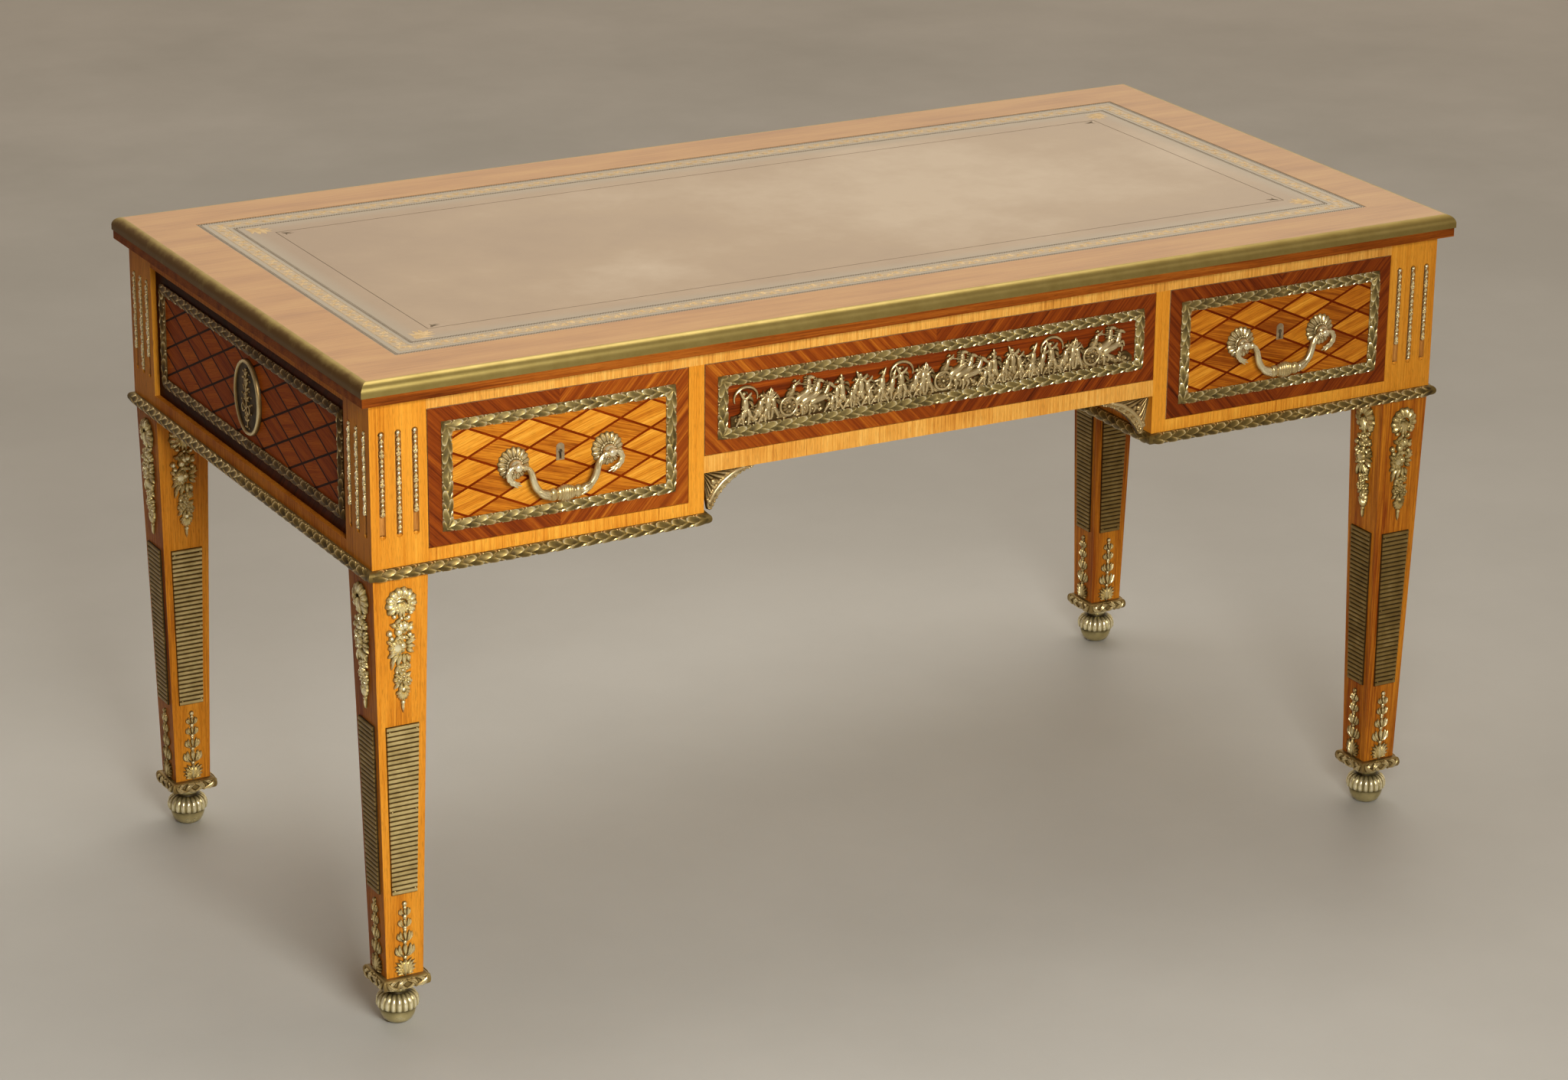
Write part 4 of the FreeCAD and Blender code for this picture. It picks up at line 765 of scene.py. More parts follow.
def pendant():
    """A shell, from which a full string of leaves, berries and flowers hangs. Up is the height on the leg."""
    form = Form()
    for a in np.radians(np.linspace(-32, 212, 10)):
        leaf(form, spoke((0, 518), a, 6.5), spoke((0, 517), a, (19.8, 20.5)), 9.6, 4.2, belly=0.66,
             lift=(2.8, 0.0), vein=0.45, blunt=True, steps=6)
        leaf(form, spoke((0, 518), a, 10), spoke((0, 517), a, (17.6, 18)), 3.4, 2.0, belly=0.6,
             lift=(3.6, 2.2), vein=0.0, steps=5)
    tube(form, arc((0, 517), (8.6, 9.0), math.radians(-45), math.radians(225), 22, 3.6), 1.7, crest=0.7)
    bead(form, 0, 515, 7.6, 2.2)
    for degrees, length in ((-138, 15), (-118, 19), (-98, 22), (-80, 22), (-62, 19), (-42, 15)):
        ray(form, (0, 521), math.radians(degrees), 1.5, (0.8 * length, length), 5.4, 4.4, lift=(1.0, 1.2),
            steps=6)
    for u, w, r in ((11.5, 506, 3.4), (8.5, 500, 3.0), (-8.5, 503, 3.0), (-14.5, 484, 3.9), (-12, 477.5, 3.3),
                    (10.5, 487.5, 3.9), (9.8, 479.5, 3.4), (8.0, 452.5, 3.2), (-3, 478, 3.0), (-13, 466, 2.8),
                    (6, 492, 2.6), (-9, 493, 2.8), (0, 500, 2.6), (3, 477, 2.6), (-6, 437, 2.6),
                    (8, 432, 2.6), (-6, 424, 2.6)):
        bead(form, u, w, r, r * 1.25)
    for u, w, r, h in ((3.4, 491, 5.0, 6.0), (-3.8, 484.5, 5.0, 6.0), (0.6, 489.5, 5.6, 4.0),
                       (-5.5, 466.5, 10.0, 4.6), (0.2, 468.5, 4.8, 6.4)):
        bead(form, u, w, r, h, around=14)
    petal = dict(belly=0.6, vein=0.4, blunt=True, steps=5)
    for a in np.radians(np.arange(0, 360, 36)):
        ray(form, (-5.5, 466.5), a, 3.5, (11.4, 9.6), 6.0, 4.4, lift=(1.6, 0.2), **petal)
        ray(form, (1, 489), a, 3.0, (9.2, 8.6), 4.6, 3.6, lift=(1.2, 0.2), **petal)
    leaves(form, ((4, 470, 17.5, 473.5, 6.5), (5, 467, 17, 465, 6.0), (5, 464, 15, 457.5, 6.5),
                  (8, 472, 16, 479, 5.0), (-4, 459, -14, 447, 7.5), (-8, 461, -17, 455, 6.0),
                  (-1, 459, -6, 443, 6.5), (2, 459, 3, 444, 6.5), (5, 458, 10, 446, 6.0),
                  (-12, 471, -18, 476, 5.5), (-9, 457, -13, 440, 5.0), (6, 487, 14, 494, 5.0),
                  (-6, 490, -14, 495, 5.0)), 4.0, lift=(1.2, 0.0))
    leaves(form, ((0, 500, -9, 494, 5.0), (2, 500, 10, 497, 5.0), (-1, 480, -9, 474, 5.0),
                  (2, 480, 9, 473, 5.0), (0, 482, 0.5, 471, 5.5), (-2, 446, -9, 437, 5.0),
                  (3, 446, 11, 439, 5.0), (0, 424, -4, 412, 4.6), (2, 424, 7, 412, 4.6)),
           3.6, lift=(0.8, 0.2))
    for row in ((-0.5, 440, 6.6, 6, 5.4, 0.4, 0.3), (5.2, 443, 5.4, 5, 4.8, 0.4, 0.1),
                (-5.2, 428, 5.8, 5, 4.8, 0.4, 0.5), (6.2, 424.5, 6.2, 6, 4.8, 0.4, 0.1),
                (0.5, 432, 5.4, 5, 5.2, 0.6, 0.8)):
        flower(form, *row)
    leaves(form, ((-2, 432, -10, 434, 4.5), (3, 430, 11.5, 435, 4.5), (-3, 424, -10, 417, 5.0),
                  (4, 420, 10, 413, 5.0)), 3.4, lift=(0.8, 0.0))
    for a in np.radians((-158, -138, -118, -100, -80, -62, -42, -22)):
        ray(form, (1, 416), a, (1.5, 2), (9.5, 15), 4.6, 3.8, belly=0.6, lift=(1.4, 0.0), steps=6)
    bead(form, 1, 416, 3.6, 5.0)
    bead(form, 1, 400, 3.0, 3.6)
    leaf(form, (1, 403), (1, 387), 4.6, 3.2, belly=0.4)
    return form


RIBS_TOP, RIBS_BOTTOM, RIBS, RIBS_MARGIN = 372.5, 166.5, 36, 9.0
RIB_WAVE = ((0.03, 0.0), (0.11, 0.58), (0.27, 0.92), (0.5, 1.0), (0.73, 0.92), (0.89, 0.58), (0.97, 0.0))


def leg_half(z):
    return LEG_HALF_AT_FLOOR + z * LEG_SLOPE


def ribbed_plate():
    form = Form()
    rings, crests = [], []
    across = np.array([-1.0, -1.0, -0.97, -0.5, 0.0, 0.5, 0.97, 1.0, 1.0])
    pitch = (RIBS_TOP - RIBS_BOTTOM) / RIBS
    for k in range(RIBS):
        for part, rise in RIB_WAVE:
            z = RIBS_BOTTOM + (k + part) * pitch
            out = np.array([0.0, 1.0, 1.5, 1.5, 1.5, 1.5, 1.5, 1.0, 0.0])
            out[2:7] += 1.6 * rise
            rings.append(np.stack([across * (leg_half(z) - RIBS_MARGIN), np.full(9, z), out], -1))
            crests.append(np.where(out > 1.2, 0.08 + 0.85 * rise, 0.1))
    form.loft(rings, crests)
    for z in (RIBS_TOP - 6, (RIBS_TOP + RIBS_BOTTOM) / 2, RIBS_BOTTOM + 6):
        for side in (-1, 1):
            bead(form, side * (leg_half(z) - 12.5), z, 1.5, 1.4, 2.6, around=8)
    return form


def husk_drop():
    """Four bellflowers in a string over a leaf."""
    form = Form()
    bead(form, 0, 154, 3.2, 3.4)
    for top, neck, half in ((151, 140, 6.6), (138, 126, 7.4), (123, 108, 8.8), (107, 89, 11.2)):
        for lean, reach, width in ((-1.0, 0.72, 0.55), (1.0, 0.72, 0.55), (-0.62, 0.86, 0.5),
                                   (0.62, 0.86, 0.5), (0.0, 0.92, 0.6)):
            leaf(form, (lean * 1.2, neck - 1), (lean * half, neck + (top - neck) * reach), half * width,
                 3.6 - 1.4 * abs(lean), belly=0.62, bend=-lean * 0.2, lift=(0.9, 0.3), vein=0.35)
        bead(form, 0, neck - 1.6, 2.8, 3.4)
        bead(form, 0, top - 1.5, 2.4, 3.0)
    for side in (-1, 1):
        for u, w, width in ((12.5, 83, 4.4), (13.6, 77.5, 4.4), (13.0, 72, 4.2), (10.5, 67, 3.8),
                            (8.5, 86, 4.4)):
            leaf(form, (2 * side, 66), (u * side, w), width, 3.4, belly=0.6, bend=0.14 * side,
                 lift=(0.8, 0.2))
    leaf(form, (0, 63), (0, 88), 8, 4.2, belly=0.5, lift=(0.4, 0.6))
    return form


COLLAR_LOW, COLLAR_HIGH, COLLAR_INNER, COLLAR_RISE = 50.0, 63.0, 25.5, 5.5
COLLAR_CORE = ((16, 49), (26, 50), (26, 62.5), (leg_half(63) + 0.2, 64))
FOOT = lathe(((9.0, 0.0, 0.5), (13.4, 1.0, 0.6), (17.0, 4.2, 0.66), (19.4, 8.8, 0.66), (20.8, 13.6, 0.58),
              (21.1, 16.6, 0.4), (20.9, 17.8, 0.12), (22.2, 18.2, 0.4, 0.4), (24.3, 19.5, 0.75, 1),
              (25.0, 22.2, 0.85, 1), (25.0, 25.6, 0.88, 1), (24.0, 29.8, 0.85, 1), (21.8, 33.2, 0.75, 1),
              (18.6, 35.6, 0.6, 1),
              (15.8, 36.8, 0.35, 0.7), (13.4, 37.2, 0.1), (12.6, 38.4, 0.15), (12.8, 39.8, 0.4),
              (13.8, 41.0, 0.75), (14.0, 44.0, 0.8), (13.8, 47.0, 0.6), (13.4, 49.6, 0.3)),
             120, lobes=20, depth=0.09)
FLUTES = ((-20, 98), (0, 120), (20, 98))
FLUTE_TOP, FLUTE_BOTTOM, FLUTE_RADIUS, LINING = 714.5, 598.5, 3.7, 0.3
STRING_TOP, STRING_PITCH, STRING_ENDS = 716.0, 11.4, 8.0

# Crest scales for some mounts: painted shade on the right pendants and on ribs in the shade, painted
# highlights on husks on front and back faces, and less wear on the brackets
RIGHT_PENDANT_PAINTED_SHADE, SHADED_RIB_PAINTED_SHADE, FRONT_HUSK_PAINTED_HIGHLIGHT, BRACKET_RUB = 0.78, 0.72, 1.3, 0.86


def flute_string(offset, length):
    """A string of husks, berries and flowers in a flute."""
    form = Form()
    tube(form, [(offset, STRING_TOP, -1.2), (offset, STRING_TOP + 1.0 - length / 2, -1.0),
                (offset, STRING_TOP + 3.0 - length, -1.2)], 1.2)
    bead(form, offset, STRING_TOP - 1.0, 2.5, 2.6, -0.8)
    count = round((length - STRING_ENDS) / STRING_PITCH)
    for k in range(count):
        w = STRING_TOP - 4.5 - k * (length - STRING_ENDS) / count
        leaves(form, ((-0.3, 0, -2.5, -6.0, 3.1, 0.12), (0.3, 0, 2.5, -6.0, 3.1, -0.12),
                      (0, 0, 0, -8.0, 3.1)),
               2.2, shift=(offset, w), belly=0.6, lift=(-0.2, 0.3), steps=5)
        if k % 3 == 1:
            flower(form, offset, w - 9.0, 3.2, 5, 2.6, 0.0, 0.3 * k)
        else:
            bead(form, offset, w - 9.2, 2.2, 2.5, -0.3, around=8)
    return form


def flute_lining(offset):
    """The rounded hollow of a flute, as a thin sheet of darker wood: painted shade in the groove."""
    form = Form()
    turn = np.linspace(0, np.pi, 13)
    bowl = np.column_stack([np.cos(turn), -np.sin(turn)])
    groove = np.vstack([FLUTE_RADIUS * bowl, (FLUTE_RADIUS - LINING) * bowl[::-1]])
    form.loft([np.column_stack([offset + groove[:, 0], np.full(26, z), groove[:, 1]])
               for z in np.linspace(FLUTE_BOTTOM, FLUTE_TOP, 9)], 0.5)
    return form


PENDANT, RIBBED, HUSKS = pendant(), ribbed_plate(), husk_drop()
pendants, ribbed, husks, collars, feet, strings, linings = (Form() for _ in range(7))
for sign_x in (-1, 1):
    for sign_y in (-1, 1):
        leg = np.array((sign_x * POST_X, sign_y * POST_Y, 0.0))
        for out in (RIGHT, LEFT, BACK, FRONT):
            place = on_plane(leg + out * LEG_HALF_AT_FLOOR, np.cross(UP, out), UP + out * LEG_SLOPE, out)
            # Painted shade dims the right pendants and the shaded ribs, and painted highlights brighten the
            # husks on front and back faces
            pendants.stamp(PENDANT, place, 1.0 if sign_x < 0 else RIGHT_PENDANT_PAINTED_SHADE)
            ribbed.stamp(RIBBED, place, 1.0 if sign_x < 0 and out[1] else SHADED_RIB_PAINTED_SHADE)
            husks.stamp(HUSKS, place, FRONT_HUSK_PAINTED_HIGHLIGHT if out[1] else 1.0)
            bar = on_face(leg + out * COLLAR_INNER + UP * (COLLAR_LOW + COLLAR_HIGH) / 2, out)
            laurel(collars, bar, 2 * COLLAR_INNER, COLLAR_HIGH - COLLAR_LOW, COLLAR_RISE, 1.2, lambda c, n: n,
                   SCROLL_LEAVES, 0.55)
        collars.loft([np.column_stack([box(h, h), np.full(4, z)]) + leg for h, z in COLLAR_CORE], 0.45)
        feet.stamp(FOOT, lambda points: points + leg)
        for out in (sign_x * RIGHT, sign_y * BACK):
            for offset, length in FLUTES:
                strings.stamp(flute_string(offset, length), on_face(leg + out * POST_HALF, out))
                linings.stamp(flute_lining(offset), on_face(leg + out * POST_HALF, out))

pendants.piece("pendants", "ormolu", "case", ["leg_pendants"], sharp=60)
ribbed.piece("ribbed_plates", "rib_brass", "case", ["leg_ribbed_plates"])
husks.piece("husk_drops", "green_ormolu", "case", ["leg_husk_drops"], sharp=60)
collars.piece("collars", "green_ormolu", "case", ["leg_collars"])
feet.piece("feet", "foot_ormolu", "case", ["ball_feet"])
strings.piece("flute_strings", "string_ormolu", "case", ["flute_rods"], sharp=60)
# Darker sheets in the flutes: painted shade in the grooves
linings.piece("flute_linings", "flute_wood", "case", slot="case_wood")


# Kneehole brackets

BRACKET_INSET = 12.0


def bracket():
    """A fluted corner piece under an apron. The corner is the origin, right goes along the apron."""
    form = Form()
    curve = smooth_path([(8.5, -47), (13.5, -47.5), (20.5, -36), (35, -20.5), (54, -8.5), (67.5, -4.2),
                         (67.8, -0.4)], 72)
    shares = np.array([0.10, 0.2, 0.32, 0.44, 0.56, 0.66, 0.72, 0.78, 0.84, 0.9, 0.96, 1.0])
    rings, crests = [], []
    for k, point in enumerate(curve):
        fluted = np.where(shares < 0.68, abs(math.sin(math.pi * k / 6.0)), 1.0)
        out = np.interp(shares, [0, 0.3, 0.62, 0.7, 0.78, 0.84, 0.96, 1.0], [5, 5.5, 7, 5, 9, 6, 6, 4])
        out -= 2.0 * (1 - fluted) * np.clip(shares * 4, 0, 1)
        front, back = np.outer(shares, point), np.outer(shares[[-1, 5, 0]], point)
        rings.append(np.vstack([np.column_stack([front, out]), np.column_stack([back, np.zeros(3)])]))
        ridge = np.clip((out - 1.6) / 5.0, 0.1, 1) * (0.3 + 0.7 * fluted)
        crests.append(np.concatenate([ridge, np.full(3, 0.1)]))
    form.loft(rings, crests)
    for k in np.linspace(3, 68, 16).astype(int):
        bead(form, *(curve[k] * 0.955), 1.6, 1.4, 5.4, around=8)
    rib = np.column_stack([curve[4:69:4] * 0.76, np.full(17, 7.0)])
    tube(form, rib, 0.8 + 1.8 * np.sin(np.linspace(0.2, 2.9, 17)), crest=0.9)
    for k in range(10, 64, 6):
        leaf(form, curve[k] * 0.8, curve[k + 3] * 0.93, 5.0, 2.2, lift=(5.6, 5.0), steps=5)
    bead(form, 15, -14, 4.6, 4.0, 5.0)
    return form


BRACKET, brackets = bracket(), Form()
for side in (-1, 1):
    for out in (FRONT, BACK):
        origin = np.array((side * KNEE_X, 0.0, APRON_BOTTOM)) + out * (HALF_DEPTH - BRACKET_INSET)
        brackets.stamp(BRACKET, on_plane(origin, (-side, 0, 0), UP, out), BRACKET_RUB)
brackets.piece("brackets", "dark_ormolu", "case", ["kneehole_brackets"], sharp=55)


# Medallions

MEDALLION_Z, MEDALLION_HALF_U, MEDALLION_HALF_W, MEDALLION_STEPS = 656.0, 36.0, 45.5, 64


def medallion():
    """An oval with a rim, and a slim string of leaves and berries tied with a ribbon."""
    form = Form()
    x, y = circle(MEDALLION_STEPS)
    profile = ((-35.8, 0.0, 0.1), (0, 0.0, 0.2), (0.0, 2.6, 0.5), (-0.9, 4.8, 0.95), (-2.4, 5.5, 1.0),
               (-4.0, 4.6, 0.7), (-4.8, 2.8, 0.2), (-8, 2.6, 0.16), (-20, 3.0, 0.2), (-35, 3.2, 0.2))
    rings, crests = [], []
    for grow, out, crest in profile:
        level = np.full(MEDALLION_STEPS, out)
        rings.append(np.stack([(MEDALLION_HALF_U + grow) * x, (MEDALLION_HALF_W + grow) * y, level], -1))
        crests.append(np.full(MEDALLION_STEPS, crest))
    form.loft(rings, crests)
    tube(form, [(0, -35, 3.2), (0, -10, 3.8), (0, 12, 3.8), (0, 34, 3.2)], [0.7, 1.2, 1.2, 0.7])
    for w, r in ((-35, 1.8), (-27, 2.2), (-12, 3.0), (-3, 2.2), (5, 3.2), (14, 2.2), (22, 2.6), (34, 2.0)):
        bead(form, 0, w, r, r, 3.0)
    for side in (-1, 1):
        leaves(form, ((1, -30, 8, -24, 3.6, 0.15), (1, -24, 9, -15, 3.8, 0.15), (1, -16, 7, -21, 3.0, -0.2),
                      (2, -10, 12, -4, 4.4, -0.2), (2, -6, 10, 4, 4.0, 0.2), (2, 2, 9, -3, 3.0, -0.2),
                      (2, 7, 11, 14, 4.2, 0.15), (1, 12, 7, 21, 3.6, 0.15), (1, 18, 9, 25, 3.4, 0.15),
                      (1, 25, 6, 33, 3.2, 0.15)), 2.2, (side, 1), lift=(3.2, 2.6), steps=5)
        for u, w in ((7, -10), (12, -17), (13, 3), (8, 9), (11, 22), (5, -36), (15, -5), (9, 30)):
            bead(form, side * u, w, 1.5, 1.4, 2.8, around=8)
        loop = [(side * (1 + 10 * math.sin(a)), -13 + 5 * math.sin(2 * a), 5.0)
                for a in np.linspace(0.1, 3.0, 14)]
        tube(form, loop, 0.9, around=6)
    return form


MEDALLION, medallions = medallion(), Form()
for sign, _, side in SIDES:
    medallions.stamp(MEDALLION, on_face((sign * (PANEL_X + VENEER), 0, MEDALLION_Z), side))
medallions.piece("medallions", "dark_ormolu", "case", ["side_medallions"], sharp=55)


# The frieze on the centre drawer: a made-up procession of plain little figures, horses and chariots

WHEEL_Z, WHEEL_RADIUS = 16.0, 10.6


def limb(form, points, radii, around=8):
    path = smooth_path(points, 4 * len(points))
    sizes = np.interp(np.linspace(0, 1, len(path)), np.linspace(0, 1, len(radii)), radii)
    sizes[[0, -1]] *= 0.35
    tube(form, path, sizes, around)


def figure(form, u, floor, height, facing, lean, stride, arms, robe=True, depth=0.0):
    """A walking figure with a robe round its legs."""
    k = height / 34.0

    def at(x, y, n=2.2):
        return u + facing * k * (x + lean * y / 30.0), floor + k * y, n + depth

    def thick(*radii):
        return [1.25 * k * r for r in radii]

    def cloth(x, y, tip_x, tip_y, width, height, bend, low, high, **settings):
        leaf(form, at(x, y)[:2], at(tip_x, tip_y)[:2], width * k, height, bend=bend,
             lift=(low + depth, high + depth), **settings)

    for step in (stride, -1.3 * stride):
        limb(form, [at(0.3 * np.sign(step), 15), at(0.6 * step, 8), at(step, 0.5)], thick(2.6, 2.1, 1.3))
        limb(form, [at(step - 0.8, 0.6), at(step + 2.6, 0.2)], thick(1.1, 1.0), 6)
    limb(form, [at(0, 13.5, 2.6), at(0.5, 20, 3.0), at(0.3, 26, 2.8)], thick(3.1, 3.3, 2.4))
    bead(form, *at(0.9, 30.6)[:2], 2.7 * k, 3.4 * k, 1.4 + depth)
    cloth(-0.5, 32.4, -3.6, 28.6, 3.0, 2.6 * k, 0.2, 1.8, 1.0, steps=4)
    for angle in np.radians(arms):
        c, s = spoke((0, 0), angle, 1)
        elbow, hand = at(0.4 + 5 * c, 24.6 + 5 * s, 3.6), at(0.6 + 10 * c, 25.6 + 10.5 * s, 3.0)
        limb(form, [at(0.4, 24.6, 3.2), elbow, hand], thick(1.6, 1.35, 0.9))
    if robe:
        for swing in (-1.2, -0.4, 0.4, 1.2):
            cloth(1.2 * swing, 19, 4.6 * swing - 1, 3 + 2 * abs(swing), 5.6, 3.4, 0.08 * swing, 1.6, 0.8,
                  belly=0.6)
        cloth(-1.5, 23, -9, 11, 5.0, 3.0, 0.2, 1.6, 0.5)
        cloth(-1.0, 25, -10, 19, 4.0, 2.6, 0.3, 1.4, 0.5)


def horse(form, u, floor, size, rear, depth):
    """A rearing horse."""
    c, s = math.cos(rear), math.sin(rear)

    def at(x, y):
        return u + size * (x * c - y * s), floor + size * (9 + x * s + y * c), depth

    def part(points, radii, around=8):
        limb(form, [at(*p) for p in points], [r * size for r in radii], around)

    part([(-2, 3.5), (5, 5), (13, 4.6), (19, 6)], [4.2, 4.8, 4.4, 4.0], 10)
    part([(17.5, 7), (22, 12.0), (24.0, 16.5)], [3.9, 3.2, 2.4])
    part([(23.4, 17.6), (27.4, 15.8), (30.6, 12.0)], [2.5, 2.1, 1.3])
    leaf(form, at(23.0, 18)[:2], at(23.4, 22)[:2], 2.0, 1.8, lift=(depth, depth))
    for k in range(5):
        leaf(form, at(18.6 + 1.2 * k, 10 + 1.9 * k)[:2], at(13.6 + 1.3 * k, 11.4 + 2.3 * k)[:2], 3.0, 2.4,
             bend=-0.15, lift=(depth + 1.2, depth - 0.8), steps=5)
    part([(18, 4), (25, 4.5), (25, -2)], [2.4, 1.6, 1.0])
    part([(17, 3), (22.5, 0), (20, -6)], [2.4, 1.6, 1.0])
    part([(0, 3), (4, -3.5), (0.6, -9)], [3.2, 2.0, 1.1])
    part([(-2, 3), (-2.6, -4.5), (-5, -10)], [3.0, 1.8, 1.1])
    leaf(form, at(-4.5, 6)[:2], at(-13, -1)[:2], 4.4, 2.8, bend=-0.25, lift=(depth, 0.5))


def chariot(form, u):
    tube(form, arc((u, WHEEL_Z), WHEEL_RADIUS, 0, 2 * np.pi, 33, 4.0), 1.7)
    flower(form, u, WHEEL_Z, 9.4, 10, 5.2, 2.0)
    bead(form, u, WHEEL_Z, 11.5, 2.4, around=20)
    leaf(form, (u - 16, 25), (u + 7, 31), 11, 4.6, bend=-0.28, lift=(1.2, 1.8))
    leaf(form, (u - 17, 18), (u + 12, 11), 8, 3.4, bend=-0.3, lift=(0.6, 0.6))
    leaf(form, (u + 4, 28), (u + 16, 21), 6, 3.4, bend=0.3, lift=(1.4, 1.0))


# Rows of (offset from a wheel, height, facing, lean, arms) for the figures behind
WALKER_FLOOR, WALKER_STRIDE = 3.5, 4
WALKERS = ((-54, 39, -1, 2, (60, 150)), (-40, 33, 1, 5, (40, -30)), (-29, 36, 1, 3, (75, 20)),
           (-17, 34, -1, 4, (30, 100)), (60, 35, 1, 3, (30, 160)), (71, 38, -1, 2, (95, -40)),
           (83, 34, 1, 4, (15, 60)), (95, 39, 1, -2, (110, 30)), (107, 35, -1, 5, (45, 150)),
           (119, 38, 1, 3, (70, 200)), (131, 34, 1, 6, (20, 80)))

# Rows of (offset from a wheel, floor, height, facing, lean, arms) for the figures in front
RUNNER_STRIDE, ROBED_HEIGHT = 6, 21
RUNNERS = ((-62, 2, 22, 1, 4, (40, -20)), (-47, 2, 25, -1, 9, (-20, 30)), (-34, 2, 22, 1, 8, (-35, 20)),
           (-23, 14, 20, 1, 6, (40, 20)), (52, 2, 24, 1, 8, (20, -30)), (66, 2, 23, -1, 9, (-10, 30)),
           (77, 2, 26, 1, 7, (30, -30)), (89, 2, 22, -1, 10, (-25, 30)), (101, 2, 25, 1, 6, (50, -20)),
           (113, 2, 23, 1, 10, (0, 40)), (125, 2, 25, -1, 7, (-30, 45)))
FRIEZE_HALF, FRIEZE_COUNT, LAST_WHEEL = 268.5, 300, 210.0
FIRST_WALKER, FIRST_RUNNER, LAST_FIGURE = -258, -262, 258
GRASS, STONES, GROUND_HALF = 260, 110, 262
HILLS = ((3.4, 9.3, 0.0), (2.8, 4.1, 1.0), (2.4, 23.0, 0.5))


def frieze():
    form = Form()
    across = np.linspace(-FRIEZE_HALF, FRIEZE_HALF, FRIEZE_COUNT)
    top = 12 + sum(high * np.sin(across / wide + turn) for high, wide, turn in HILLS)
    rings = [[(u, 0.6, 0.0), (u, 0.8, 1.4), (u, 0.35 * t, 2.2), (u, 0.7 * t, 1.8), (u, t - 1.0, 1.4),
              (u, t, 0.2), (u, t, 0.0)] for u, t in zip(across, top)]
    form.loft(rings, (0.2, 0.3, 0.42, 0.36, 0.45, 0.2, 0.1))
    for wheel in (-196.0, 7.0, LAST_WHEEL):
        for offset, height, facing, lean, arms in WALKERS:
            if FIRST_WALKER < wheel + offset < LAST_FIGURE:
                figure(form, wheel + offset, WALKER_FLOOR, height, facing, lean, WALKER_STRIDE, arms)
        horse(form, wheel + 12, 5.0, 1.12, 0.5, 0.8)
        figure(form, wheel + 1, 21, 26, 1, 9, 2.5, (10, 35), depth=0.4)
        horse(form, wheel + 20, 3.5, 1.1, 0.34, 2.0)
        if wheel < LAST_WHEEL:
            horse(form, wheel + 30, 2.5, 1.06, 0.2, 3.0)
        chariot(form, wheel)
        reins = [(wheel + 11, 41, 4.6), (wheel + 26, 38, 5.0), (wheel + 40, 33, 5.2)]
        tube(form, smooth_path(reins, 10), 0.7, around=6)
        veil = arc((wheel - 54, 33), (15, 13), -0.25, 3.5, 22, 2.0)
        tube(form, veil, 0.6 + 1.5 * np.sin(np.linspace(0.1, 3.0, 22)), around=6)
        for offset, floor, height, facing, lean, arms in RUNNERS:
            if FIRST_RUNNER < wheel + offset < LAST_FIGURE:
                figure(form, wheel + offset, floor, height, facing, lean, RUNNER_STRIDE, arms,
                       robe=height > ROBED_HEIGHT, depth=1.8)
        for k in range(3):
            leaf(form, (wheel - 25, 27 + k), (wheel - 36 + 2 * k, 33 + 3.4 * k), 4.0, 2.4, bend=0.2,
                 lift=(3.4, 2.0), steps=5)
    for _ in range(GRASS):
        u, w = random.uniform(-GROUND_HALF, GROUND_HALF), random.uniform(2.0, 10.0)
        turn, length = random.uniform(-0.5, 3.6), random.uniform(5.0, 11.0)
        tip = (u + length * math.cos(turn), min(max(w + 0.7 * length * math.sin(turn), 1.5), 17.0))
        leaf(form, (u, w), tip, random.uniform(3.0, 5.4), random.uniform(1.2, 2.2),
             bend=random.uniform(-0.3, 0.3), lift=(1.4, 1.6), steps=5)
    for _ in range(STONES):
        size = random.uniform(2.0, 4.5)
        u, w = random.uniform(-GROUND_HALF, GROUND_HALF), random.uniform(3.5, 12)
        bead(form, u, w, size, 0.5 * size, 1.0, around=8)
    return form


PLAQUE_FLOOR = CENTRE_BOTTOM + DRAWER_PLAY / 2 + CROSSBAND + FRAME_WIDTH
plaque = Form()
plaque.stamp(frieze(), on_face((0, -HALF_DEPTH - VENEER, PLAQUE_FLOOR), FRONT))
plaque.piece("frieze", "frieze_ormolu", "centre_drawer", ["centre_drawer_plaque"], sharp=60)


# Tooling on the leather

def tooling_rows(inset, pitch):
    """Evenly spaced marks along a rectangle inset from the leather's edge, as functions that place points."""
    corners = box(LEATHER_X - inset, LEATHER_Y - inset)
    for corner, end in zip(corners, np.roll(corners, -1, axis=0)):
        length = np.abs(end - corner).sum()
        along = (end - corner) / length
        turn = np.array([along, (-along[1], along[0])])
        count = max(1, round(length / pitch))
        for k in range(count):
            yield lambda points, at=corner + along * (k + 0.5) * length / count, turn=turn: points @ turn + at


def stroke(form, outline, height):
    """A flat mark on the leather, from its outline."""
    form.loft([np.column_stack([outline, np.full(len(outline), z)]) for z in (-0.1, height)], 0.5)


def dashes(form, inset, pitch, length, width, slant):
    c, s = spoke((0, 0), math.radians(slant), 1)
    shape = box(length / 2, width / 2) @ np.array([(c, s), (-s, c)])
    for place in tooling_rows(inset, pitch):
        stroke(form, place(shape), 0.1)


def rule(form, inset, width):
    """A plain line round the leather."""
    x, y = LEATHER_X - inset, LEATHER_Y - inset
    for side in (-1, 1):
        stroke(form, box(x, width / 2, 0, side * y), 0.08)
        stroke(form, box(width / 2, y, side * x, 0), 0.08)


